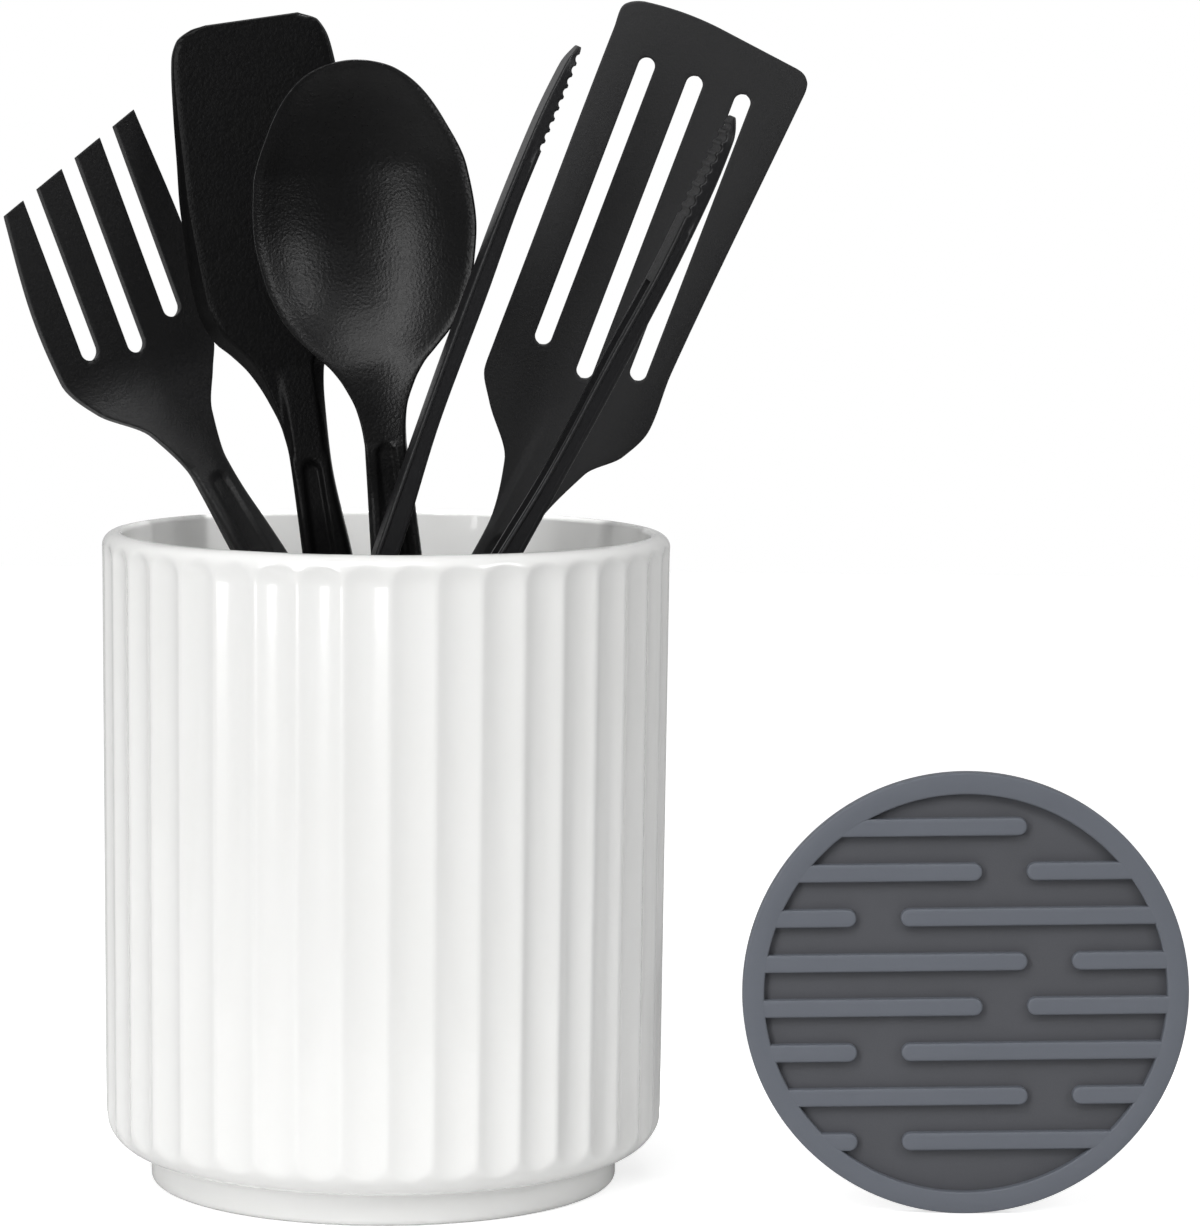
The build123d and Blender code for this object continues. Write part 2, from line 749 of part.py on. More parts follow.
with BuildPart() as mat:
    with BuildSketch(mat_plane):
        Circle(mat_radius)
    extrude(amount=-mat_base_thickness)
    with BuildSketch(mat_pattern_plane):
        Circle(mat_radius)
        Circle(mat_radius - mat_ring_width, mode=Mode.SUBTRACT)
        for number in range(mat_bar_rows):
            row = mat_top_row - number * mat_bar_spacing
            reach = math.sqrt((mat_radius - mat_ring_width / 2) ** 2 - row**2)
            gap = mat_gap_shares[number] * mat_radius
            for side in (-1, 1):
                inner_end = gap + side * (mat_gap_half_width + mat_bar_width / 2)
                span = side * reach - inner_end
                if side * span > mat_bar_width:
                    with Locations((inner_end + span / 2, row)):
                        SlotCenterToCenter(abs(span), mat_bar_width)
    extrude(amount=mat_relief)
mat.part.label = "mat"
export_step(mat.part, "parts/mat.step")
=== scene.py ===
"""Looks of a fluted utensil crock with nylon kitchen tools and a silicone mat.

Every length is in millimetres until a mesh is made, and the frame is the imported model's own.
"""
import logging
import math
from dataclasses import dataclass
from enum import Enum
from typing import Callable, Optional

import bmesh
import bpy
import numpy as np
from mathutils import Matrix


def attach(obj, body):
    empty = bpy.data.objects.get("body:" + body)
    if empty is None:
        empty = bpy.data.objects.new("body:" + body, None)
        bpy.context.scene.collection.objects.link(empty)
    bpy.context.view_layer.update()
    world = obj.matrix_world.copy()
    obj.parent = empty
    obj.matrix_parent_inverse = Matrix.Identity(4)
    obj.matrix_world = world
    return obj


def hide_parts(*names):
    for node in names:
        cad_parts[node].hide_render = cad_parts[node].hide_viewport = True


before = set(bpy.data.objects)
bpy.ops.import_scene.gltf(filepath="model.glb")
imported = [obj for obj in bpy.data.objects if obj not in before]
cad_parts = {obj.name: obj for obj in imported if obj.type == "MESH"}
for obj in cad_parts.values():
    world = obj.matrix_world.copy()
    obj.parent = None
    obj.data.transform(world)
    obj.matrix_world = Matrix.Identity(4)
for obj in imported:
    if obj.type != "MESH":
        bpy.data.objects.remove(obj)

LOG = logging.getLogger("utensil_crock")
MM = 0.001
FLOOR_HEIGHT = 14.5
SEAT_CLEARANCE = 0.3
HANDLE_END = 10.0
HANDLE_FOOT = FLOOR_HEIGHT + SEAT_CLEARANCE + HANDLE_END
Array = np.ndarray
Curve = Callable[[Array], Array]


class Grain(Enum):
    """How a surface was made, which sets the pattern of its bump."""

    GLAZED = "glazed"
    MOULDED = "moulded"
    DRAWN = "drawn"


class Side(Enum):
    """Side of a tool's middle line."""

    LEFT = -1
    RIGHT = 1


def linear_colour(code: str) -> tuple[float, float, float, float]:
    """Turns an sRGB hex code into linear colour.

    Args:
        code: six hex digits, with or without a leading #.

    Returns:
        Red, green, blue and alpha, each from 0 to 1.
    """
    digits = code.lstrip("#")
    values = np.array([int(digits[i:i + 2], 16) for i in (0, 2, 4)]) / 255.0
    linear = np.where(values <= 0.04045, values / 12.92, ((values + 0.055) / 1.055) ** 2.4)
    return (*(float(v) for v in linear), 1.0)


def add_node(tree: bpy.types.NodeTree, kind: str, inputs: Optional[dict] = None, **settings: str) -> bpy.types.Node:
    """Adds a shader node with its inputs and settings.

    Args:
        tree: the tree that gets the node.
        kind: Blender's name for the node type, without ShaderNode.
        inputs: input names or numbers, each with a value or with the output socket that feeds it.
        settings: attributes of the node with their values.

    Returns:
        The new node.
    """
    node = tree.nodes.new("ShaderNode" + kind)
    for key, value in settings.items():
        setattr(node, key, value)
    for key, value in (inputs or {}).items():
        if isinstance(value, bpy.types.NodeSocket):
            tree.links.new(value, node.inputs[key])
        else:
            node.inputs[key].default_value = value
    return node


def fresh_tree(owner: bpy.types.ID) -> bpy.types.NodeTree:
    """Gives a material's or world's node tree, emptied."""
    owner.use_nodes = True
    owner.node_tree.nodes.clear()
    return owner.node_tree


def linked(name: str, data: bpy.types.ID) -> bpy.types.Object:
    """Makes an object from its data and links it to the scene."""
    made = bpy.data.objects.new(name, data)
    bpy.context.scene.collection.objects.link(made)
    return made


def smooth_step(share: Array) -> Array:
    """Eases from 0 to 1: three times the square less twice the cube of the clipped share."""
    part = np.clip(share, 0.0, 1.0)
    return part * part * (3.0 - 2.0 * part)


def blend(height: Array, low: float, high: float, start: float, end: float) -> Array:
    """Eases a value from start to end as the height goes from low to high."""
    return start + (end - start) * smooth_step((height - low) / (high - low))


def soft_least(first: Array, second: Array, softness: float) -> Array:
    """The lower of two surfaces, with a rounded change: a logarithm of the sum of two powers."""
    gap = np.clip((second - first) / softness, -60, 60)
    return first - softness * np.log1p(np.exp(-gap))


def polar(radius: Array, angle: Array) -> Array:
    """Points (x, y) at each radius and angle."""
    return np.stack([radius * np.cos(angle), radius * np.sin(angle)], -1)


def edge_drop(distance: Array, radius: Array) -> Array:
    """Fall of a quarter-round edge: radius less the root of radius squared less reach squared.

    Args:
        distance: how far each point lies inside the outline.
        radius: radius of the rounding there.

    Returns:
        How far the surface lies below its flat.
    """
    reach = np.clip(radius - distance, 0.0, radius)
    return radius - np.sqrt(np.maximum(radius * radius - reach * reach, 0.0))


def smooth_curve(points: list[tuple[float, float]]) -> Curve:
    """Curve through points given as (reach, height), as a function of the height.

    It is a cubic between each two points, whose slope at a point is the harmonic mean of the slopes
    on both sides, or zero where they differ in sign, so it never overshoots.

    Args:
        points: the points, from the lowest height up.

    Returns:
        A function that gives the reach at an array of heights.
    """
    table = np.array(points, float)
    x, y = table[:, 0], table[:, 1]
    gap = np.diff(y)
    slope = np.diff(x) / gap
    product = slope[:-1] * slope[1:]
    safe = np.where(product > 0, slope[:-1] + slope[1:], 1.0)
    inner = np.where(product > 0, 2.0 * product / safe, 0.0)
    tangent = np.concatenate([slope[:1], inner, slope[-1:]])

    def reach(height: Array) -> Array:
        """Reach at each height."""
        h = np.clip(np.asarray(height, float), y[0], y[-1])
        i = np.clip(np.searchsorted(y, h, side="right") - 1, 0, len(gap) - 1)
        t = (h - y[i]) / gap[i]
        a = (1 + 2 * t) * (1 - t) ** 2 * x[i] + t * (1 - t) ** 2 * gap[i] * tangent[i]
        b = t * t * (3 - 2 * t) * x[i + 1] + t * t * (t - 1) * gap[i] * tangent[i + 1]
        return a + b

    return reach


def distance_to_lines(points: Array, lines: list[Array]) -> Array:
    """Least distance from each point to any of some polylines, by projection on every segment.

    Args:
        points: an array of shape (n, 2).
        lines: arrays of shape (m, 2), one for each polyline.

    Returns:
        The distances, of shape (n,).
    """
    best = np.full(len(points), np.inf)
    for line in lines:
        start, step = line[:-1], np.diff(line, axis=0)
        length = np.maximum((step ** 2).sum(1), 1e-12)
        for part in range(0, len(points), 4000):
            away = points[part:part + 4000, None, :] - start[None]
            share = np.clip((away * step[None]).sum(2) / length, 0.0, 1.0)
            miss = away - share[..., None] * step[None]
            near = np.sqrt((miss ** 2).sum(2).min(1))
            best[part:part + 4000] = np.minimum(best[part:part + 4000], near)
    return best


class Shell:
    """Grids of points gathered into one closed mesh."""

    def __init__(self) -> None:
        """Starts with no points and no faces."""
        self.points: list[Array] = []
        self.faces: list[Array] = []
        self.count = 0

    def add_grid(
        self, grid: Array, around: bool = False, closed: bool = False, keep: Optional[Array] = None
    ) -> None:
        """Adds a grid of points, with one face between each four neighbours.

        Args:
            grid: points of shape (rows, columns, 3).
            around: whether the last column joins the first.
            closed: whether the last row joins the first.
            keep: which faces stay, of shape (rows - 1, columns - 1) or as the joins make it.
        """
        rows, columns = grid.shape[:2]
        index = np.arange(rows * columns).reshape(rows, columns) + self.count
        if around:
            index = np.concatenate([index, index[:, :1]], axis=1)
        if closed:
            index = np.concatenate([index, index[:1]], axis=0)
        faces = np.stack([index[:-1, :-1], index[:-1, 1:], index[1:, 1:], index[1:, :-1]], axis=-1)
        if keep is not None:
            faces = faces[keep]
        self.points.append(grid.reshape(-1, 3))
        self.faces.append(faces.reshape(-1, 4))
        self.count += rows * columns

    def make(self, name: str, sharp_degrees: float = 40.0) -> bpy.types.Object:
        """Makes the mesh, merges its doubles, turns its faces outwards and shades it.

        Args:
            name: name of the piece.
            sharp_degrees: edges that turn by more than this stay sharp.

        Returns:
            The new object, at the origin.
        """
        points = np.concatenate(self.points) * MM
        faces = np.concatenate(self.faces)
        mesh = bpy.data.meshes.new(name)
        mesh.vertices.add(len(points))
        mesh.vertices.foreach_set("co", points.astype(np.float32).ravel())
        mesh.loops.add(faces.size)
        mesh.loops.foreach_set("vertex_index", faces.astype(np.int32).ravel())
        mesh.polygons.add(len(faces))
        mesh.polygons.foreach_set("loop_start", np.arange(0, faces.size, 4, dtype=np.int32))
        mesh.update(calc_edges=True)
        mesh.validate()
        solid = bmesh.new()
        solid.from_mesh(mesh)
        bmesh.ops.remove_doubles(solid, verts=solid.verts, dist=2e-6)
        bmesh.ops.dissolve_degenerate(solid, dist=1e-6, edges=solid.edges)
        bmesh.ops.recalc_face_normals(solid, faces=solid.faces)
        solid.to_mesh(mesh)
        solid.free()
        mesh.polygons.foreach_set("use_smooth", np.ones(len(mesh.polygons), bool))
        mesh.set_sharp_from_angle(angle=math.radians(sharp_degrees))
        mesh.update()
        return linked(name, mesh)


@dataclass(frozen=True)
class StandingPlane:
    """Upright plane that a tool stands in: x across the tool, y up along it, z out of its face.

    Attributes:
        foot: where the tool's local origin lies.
        lean_degrees: lean of the tool, positive to the left.
        turn_degrees: turn of the tool about its own length.
    """

    foot: tuple[float, float, float]
    lean_degrees: float
    turn_degrees: float = 0.0

    def axes(self) -> Array:
        """Rows across, along and out, as unit vectors."""
        a, b = math.radians(self.lean_degrees), math.radians(self.turn_degrees)
        along = np.array([-math.sin(a), 0.0, math.cos(a)])
        across = np.array([math.cos(a) * math.cos(b), math.sin(b), math.sin(a) * math.cos(b)])
        return np.stack([across, along, np.cross(across, along)])

    def place(self, local: Array) -> Array:
        """Turns local points into the model's frame."""
        return np.array(self.foot) + local @ self.axes()


@dataclass(frozen=True)
class Finish:
    """A finish, from what the real material is and how its surface was made.

    Attributes:
        name: the material's common name and how it was made.
        slot: name of a slot for the finish; not used.
        colour: sRGB hex of the body colour, which drifts slowly to second_colour over drift_mm.
        roughness: its middle value, which the fine grain moves by roughness_drift each way.
        grain: how the surface was made.
        grain_mm: size of the fine grain, and grain_height_mm its height.
        specular: specular level of the shader.
        coat: weight of a clear glaze.
        wave_mm: size of a slow waviness, or 0, and wave_height_mm its height.
    """

    name: str
    slot: str
    colour: str
    second_colour: str
    roughness: float
    roughness_drift: float
    grain: Grain
    grain_mm: float
    grain_height_mm: float
    drift_mm: float
    ior: float = 1.5
    specular: float = 0.5
    coat: float = 0.0
    coat_roughness: float = 0.05
    metallic: float = 0.0
    wave_mm: float = 0.0
    wave_height_mm: float = 0.0

    def material(self) -> bpy.types.Material:
        """Makes the finish's node material, or gives the one made before."""
        known = bpy.data.materials.get(self.name)
        if known is not None:
            return known
        made = bpy.data.materials.new(self.name)
        tree = fresh_tree(made)
        place = add_node(tree, "TexCoord").outputs["Object"]
        if self.grain is Grain.DRAWN:
            place = add_node(tree, "Mapping", {"Vector": place, "Scale": (1.0, 0.08, 1.0)}).outputs["Vector"]

        def noise(size_mm: float, detail: float, rough: float = 0.5) -> bpy.types.NodeSocket:
            """Noise of a real size."""
            inputs = {"Vector": place, "Scale": 1.0 / (size_mm * MM), "Detail": detail, "Roughness": rough}
            return add_node(tree, "TexNoise", inputs).outputs["Fac"]

        def raised(height: bpy.types.NodeSocket, height_mm: float, inputs: dict) -> bpy.types.NodeSocket:
            """Normal of a bump of a real height."""
            inputs = {"Height": height, "Strength": 1.0, "Distance": height_mm * MM, **inputs}
            return add_node(tree, "Bump", inputs).outputs["Normal"]

        colours = {6: linear_colour(self.colour), 7: linear_colour(self.second_colour)}
        tint = add_node(tree, "Mix", {0: noise(self.drift_mm, 3.0, 0.55), **colours}, data_type="RGBA")
        fine = noise(self.grain_mm, 2.0)
        low, high = self.roughness - self.roughness_drift, self.roughness + self.roughness_drift
        rough = add_node(
            tree, "MapRange", {"Value": fine, "From Min": 0.3, "From Max": 0.7, "To Min": low, "To Max": high}
        )
        normal = raised(fine, self.grain_height_mm, {})
        if self.wave_mm > 0:
            normal = raised(noise(self.wave_mm, 1.0), self.wave_height_mm, {"Normal": normal})
        shader = add_node(tree, "BsdfPrincipled", {
            "Base Color": tint.outputs[2], "Roughness": rough.outputs["Result"], "Normal": normal,
            "IOR": self.ior, "Specular IOR Level": self.specular, "Metallic": self.metallic,
            "Coat Weight": self.coat, "Coat Roughness": self.coat_roughness,
        })
        add_node(tree, "OutputMaterial", {"Surface": shader.outputs["BSDF"]})
        return made


# Stoneware under a white gloss glaze: a bright body whose glaze gives sharp, soft-edged lights
WHITE_GLAZE = Finish(
    "white_gloss_glaze", "glazed_ceramic", "#F1F1F0", "#EDEDEB", 0.22, 0.02, Grain.GLAZED,
    grain_mm=2.2, grain_height_mm=0.004, drift_mm=60.0, coat=0.7, coat_roughness=0.06,
    wave_mm=16.0, wave_height_mm=0.05,
)
# Glass-filled nylon moulded in a spark-eroded tool: near black, with a fine dull grit
SPOON_NYLON = Finish(
    "moulded_nylon_spoon", "spoon_nylon", "#090909", "#0E0E0F", 0.32, 0.05, Grain.MOULDED,
    grain_mm=0.8, grain_height_mm=0.12, drift_mm=25.0, specular=0.25,
)
# The solid turner's face is the blackest of all and gives back almost no light
TURNER_NYLON = Finish(
    "moulded_nylon_turner", "turner_nylon", "#060607", "#0A0A0A", 0.33, 0.05, Grain.MOULDED,
    grain_mm=0.8, grain_height_mm=0.08, drift_mm=25.0, specular=0.1,
)
# The slotted turner's face is duller and a little paler than the rest
SLOTTED_NYLON = Finish(
    "moulded_nylon_slotted", "slotted_nylon", "#1C1C1D", "#232324", 0.55, 0.06, Grain.MOULDED,
    grain_mm=0.7, grain_height_mm=0.05, drift_mm=30.0, specular=0.3,
)
# The fork has the same grit, a little shinier, so its bent palm catches a broad soft light
FORK_NYLON = Finish(
    "moulded_nylon_fork", "fork_nylon", "#0D0D0E", "#131314", 0.42, 0.05, Grain.MOULDED,
    grain_mm=0.8, grain_height_mm=0.12, drift_mm=25.0, specular=0.4,
)
# The tongs are a shade paler and smoother, with a thin sheen along their edges
TONGS_NYLON = Finish(
    "moulded_nylon_tongs", "tongs_nylon", "#121213", "#18181A", 0.4, 0.06, Grain.MOULDED,
    grain_mm=0.7, grain_height_mm=0.05, drift_mm=25.0, specular=0.3,
)
# Silicone cast in a matt mould: soft, dusty grey, the raised lines paler than the floor; the floor's darker grey is
# partly its own tone and partly painted shade of the recess between the lines
SILICONE_FLOOR_WITH_PAINTED_SHADE = Finish(
    "cast_silicone_floor", "mat_silicone", "#4B4C50", "#505156", 0.62, 0.05, Grain.MOULDED,
    grain_mm=0.6, grain_height_mm=0.03, drift_mm=18.0, ior=1.41,
)
SILICONE_LINES = Finish(
    "cast_silicone_lines", "mat_silicone", "#5E626A", "#63676F", 0.55, 0.05, Grain.MOULDED,
    grain_mm=0.6, grain_height_mm=0.02, drift_mm=30.0, ior=1.41,
)
# Turned steel, out of sight in the crock: plain pale grey
PIN_STEEL = Finish(
    "turned_pin_steel", "pin_steel", "#A4A4A6", "#9C9C9E", 0.3, 0.05, Grain.DRAWN,
    grain_mm=0.4, grain_height_mm=0.004, drift_mm=5.0, metallic=1.0,
)
# Drawn wire, out of sight too: pale grey, its grain stretched along the wire
WIRE_STEEL = Finish(
    "drawn_spring_wire", "spring_steel", "#A0A0A2", "#97979A", 0.3, 0.05, Grain.DRAWN,
    grain_mm=0.4, grain_height_mm=0.004, drift_mm=5.0, metallic=1.0,
)


def dress(piece: bpy.types.Object, finish: Finish, body: str) -> None:
    """Gives a new piece its material and the body that it rides on."""
    piece.data.materials.clear()
    piece.data.materials.append(finish.material())
    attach(piece, body)
    LOG.info("%s: %d faces on body %s", piece.name, len(piece.data.polygons), body)


@dataclass
class Crock:
    """Fluted crock: one turned body with arched flutes, a rounded lip and a foot ring."""

    height: float = 177.5
    radius: float = 77.0
    low_radius: float = 76.0
    wall: float = 5.5
    lip_outer: float = 4.015
    floor_top: float = FLOOR_HEIGHT
    recess: float = 8.5
    inner_corner: float = 8.0
    body_corner: float = 11.0
    foot_radius: float = 63.6
    foot_height: float = 9.0
    foot_ring: float = 7.0
    foot_round: float = 1.8
    ring_round: float = 1.0
    fillet: float = 0.8
    flutes: int = 40
    flute_depth: float = 1.4
    flute_radius: float = 13.762
    flute_top: float = 169.2
    arch_rows_below: float = 2.0
    first_flute_degrees: float = 7.75
    columns_per_flute: int = 14
    glaze_softness: float = 0.22

    def profile(self) -> tuple[Array, slice]:
        """Points (radius, height) of the turned body, from under its middle, out, up and in.

        Returns:
            The points, and which of them the flutes can cut.
        """
        def arc(x: float, y: float, radius: float, start: float, end: float, count: int) -> Array:
            """Points of an arc about (x, y) between two angles in degrees."""
            return np.array([x, y]) + polar(radius, np.radians(np.linspace(start, end, count)))

        def run(start: tuple[float, float], end: tuple[float, float], count: int) -> Array:
            """Even points of a straight run, without its ends."""
            share = np.linspace(0, 1, count + 2)[1:-1, None]
            return np.array(start) * (1 - share) + np.array(end) * share

        ring_in, foot = self.foot_radius - self.foot_ring, self.foot_radius
        small, tiny = self.foot_round, self.fillet
        lip_inner = self.wall - self.lip_outer
        crest, inner = self.radius - self.lip_outer, self.radius - self.wall
        wall_low = (self.low_radius, self.foot_height + self.body_corner)
        wall_high = (self.radius, self.height - self.lip_outer)
        arch = self.flute_top - self.arch_rows_below
        arch_low = (np.interp(arch, [wall_low[1], wall_high[1]], [wall_low[0], wall_high[0]]), arch)
        corner, corner_y = self.inner_corner, self.floor_top + self.inner_corner
        below = [
            np.array([[0.0, self.recess]]),
            run((0, self.recess), (ring_in, self.recess), 3),
            arc(ring_in - tiny, self.recess - tiny, tiny, 90, 0, 4),
            arc(ring_in + self.ring_round, self.ring_round, self.ring_round, 180, 270, 4),
            arc(foot - small, small, small, -90, 0, 7),
            run((foot, small), (foot, self.foot_height - tiny), 3),
            arc(foot + tiny, self.foot_height - tiny, tiny, 180, 90, 5),
        ]
        fluted = [
            arc(self.low_radius - self.body_corner, wall_low[1], self.body_corner, -90, 0, 26)[1:],
            run(wall_low, arch_low, 26),
            run(arch_low, wall_high, 26),
            arc(crest, wall_high[1], self.lip_outer, 0, 90, 10),
        ]
        above = [
            arc(crest, self.height - lip_inner, lip_inner, 90, 180, 6)[1:],
            run((inner, self.height - lip_inner), (inner, corner_y), 8),
            arc(inner - corner, corner_y, corner, 0, -90, 9),
            run((inner - corner, self.floor_top), (0, self.floor_top), 4),
            np.array([[0.0, self.floor_top]]),
        ]
        first = sum(map(len, below))
        return np.concatenate(below + fluted + above), slice(first, first + sum(map(len, fluted)))

    def build(self) -> bpy.types.Object:
        """Makes the body: each ring's radius is the softened least of the wall and the flute.

        The flute is a cylinder beside the wall, seen in plan at distance D from the axis with
        radius q: its wall is D times cos a, less the root of q squared less (D sin a) squared.
        Above the flute's top q shrinks as a sphere does, which makes the arch.

        Returns:
            The crock's object.
        """
        table, rows = self.profile()
        count = self.flutes * self.columns_per_flute
        pitch = 2 * math.pi / self.flutes
        first = math.radians(self.first_flute_degrees - 90.0)
        angle = first + np.arange(count) * 2 * math.pi / count
        offset = (angle - first + pitch / 2) % pitch - pitch / 2
        radius = np.repeat(table[:, :1], count, axis=1)
        height = np.repeat(table[:, 1:], count, axis=1)
        taper = (self.radius - self.low_radius) / (self.height - self.foot_height - self.body_corner)
        high = height[rows]
        wall = self.low_radius + (high - self.foot_height - self.body_corner) * taper
        centre = wall - self.flute_depth + self.flute_radius
        rise = np.maximum(high - self.flute_top, 0.0)
        q2 = self.flute_radius ** 2 - rise ** 2
        side = centre * np.sin(offset)[None]
        cut = centre * np.cos(offset)[None] - np.sqrt(np.maximum(q2 - side ** 2, 0.0))
        cut = np.where(q2 > side ** 2, cut, 1e3)
        radius[rows] = soft_least(radius[rows], cut, self.glaze_softness)
        shell = Shell()
        shell.add_grid(np.concatenate([polar(radius, angle), height[..., None]], -1), around=True)
        piece = shell.make("crock_body", sharp_degrees=60.0)
        dress(piece, WHITE_GLAZE, "crock")
        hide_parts("crock")
        return piece


@dataclass
class GroovedHandle:
    """Handle shared by the tools: round end, slightly waisted sides and a groove down its face."""

    neck_height: float
    neck_shift: float = 0.0
    thickness: float = 6.5
    rim_width: float = 13.6
    neck_width: float = 11.0
    edge_round: float = 1.8
    groove_depth: float = 0.9
    groove_top_radius: float = 2.3
    groove_end_radius: float = 5.2
    groove_edge: float = 1.7

    def side_points(self, side: Side) -> list[tuple[float, float]]:
        """Points (reach, height) of one long side, from above the round end to the neck."""
        s = side.value
        return [
            (s * HANDLE_END, 0.0),
            (s * (HANDLE_END + self.rim_width / 2) / 2, self.neck_height * 0.45),
            (s * self.rim_width / 2, self.neck_height * 0.83),
            (self.neck_shift + s * self.neck_width / 2, self.neck_height),
        ]

    def groove(self, x: Array, y: Array) -> Array:
        """Depth of the groove: full inside a tapering stadium, eased to nothing at its edge."""
        top = self.neck_height - self.groove_top_radius
        share = np.clip(y / top, 0.0, 1.0)
        reach = self.groove_end_radius + (self.groove_top_radius - self.groove_end_radius) * share
        past = np.maximum(y - top, 0.0) + np.maximum(-y, 0.0)
        away = reach - np.hypot(x - self.neck_shift * share, past)
        return self.groove_depth * smooth_step(away / self.groove_edge + 0.5)


def clustered(low: float, high: float, step: float, close: tuple[float, ...] = (), fine: float = 0.4) -> Array:
    """Heights at an even step from low to high, with extra ones near some heights.

    Args:
        low: the first height.
        high: the last height.
        step: the even spacing.
        close: heights that get extra rows beside them.
        fine: spacing of those rows.

    Returns:
        The heights, sorted, no two closer than a tenth of the fine spacing.
    """
    even = np.linspace(low, high, max(int((high - low) / step), 1) + 1)
    extra = [h + np.arange(-6, 7) * fine for h in close]
    rows = np.unique(np.concatenate([even] + extra))
    rows = rows[(rows >= low) & (rows <= high)]
    rows = rows[np.concatenate([[True], np.diff(rows) > fine * 0.1])]
    rows[-1] = high
    return rows


def tool_rows(neck: float, head: Array, tip: tuple[float, float, int] = (0.0, 0.0, 1)) -> Array:
    """Heights of a tool's rows: close at its half-round end and where the outline turns at its tip.

    Args:
        neck: the last height of the handle's even rows.
        head: heights of the head's rows.
        tip: where the tip's rows start, how far they rise and one more than their number.

    Returns:
        The heights, from the lowest up.
    """
    end = -HANDLE_END * np.cos(np.linspace(0, math.pi / 2, 14)[:-1])
    end[0] = -HANDLE_END * 0.9995
    start, rise, count = tip
    turn = start + rise * np.sin(np.linspace(0, math.pi / 2, count))[1:]
    return np.concatenate([end, clustered(0, neck, 2.4), head, turn])


def with_round_end(curve: Curve, side: Side) -> Curve:
    """Extends a side below zero by the half-round end of the handle."""
    def reach(height: Array) -> Array:
        """Reach at each height."""
        h = np.asarray(height, float)
        end = side.value * np.sqrt(np.maximum(HANDLE_END ** 2 - np.minimum(h, 0.0) ** 2, 0.0))
        return np.where(h < 0, end, curve(np.maximum(h, 0.0)))
    return reach


@dataclass(frozen=True)
class Slot:
    """A slot with round ends, or a gap with a round bottom that is open at the top.

    Attributes:
        low: centre of the lower end's round.
        high: centre of the upper end's round.
        width: width of the slot.
        open_top: whether it runs out at the top.
    """

    low: tuple[float, float]
    high: tuple[float, float]
    width: float
    open_top: bool = False

    def chain(self, side: Side) -> Array:
        """Points of one side, from the lowest point up: an arc, a straight run and an arc."""
        low, high = np.array(self.low), np.array(self.high)
        tilt = math.atan2(low[0] - high[0], high[1] - low[1])
        middle = tilt if side is Side.RIGHT else math.pi + tilt
        start = -math.pi / 2 if side is Side.RIGHT else 3 * math.pi / 2
        radius = self.width / 2

        def arc(centre: Array, first: float, last: float) -> Array:
            """Points of a round end between two angles."""
            return centre + polar(radius, np.linspace(first, last, 16))

        top = np.array([high + [side.value * radius, 0.0]]) if self.open_top else arc(high, middle, math.pi / 2)
        return np.concatenate([arc(low, start, middle), top])

    def sides(self, left: Curve, right: Curve, start: float, home_share: float) -> list[Curve]:
        """Both sides as functions of the height, joined below and above the slot.

        Args:
            left: left side of the plate.
            right: right side of the plate.
            start: height from which the closed line leaves its home.
            home_share: its place across the handle.

        Returns:
            Left and right side of the slot, equal where it is closed.
        """
        def share_at(x: float, y: float) -> float:
            """Share of the plate's width at a point."""
            a, b = float(left(np.array(y))), float(right(np.array(y)))
            return (x - a) / (b - a)

        def line(points: Array) -> Curve:
            """One side of the slot as a function of the height."""
            (low_x, low_y), (high_x, high_y) = points[0], points[-1]
            low, high = share_at(low_x, low_y), share_at(high_x, high_y)

            def reach(height: Array) -> Array:
                """Reach at each height."""
                h = np.asarray(height, float)
                a, b = left(h), right(h)
                below = a + blend(h, start, low_y, home_share, low) * (b - a)
                inside = np.interp(h, points[:, 1], points[:, 0])
                return np.where(h < low_y, below, np.where(h > high_y, a + high * (b - a), inside))

            return reach

        return [line(self.chain(side)) for side in Side]


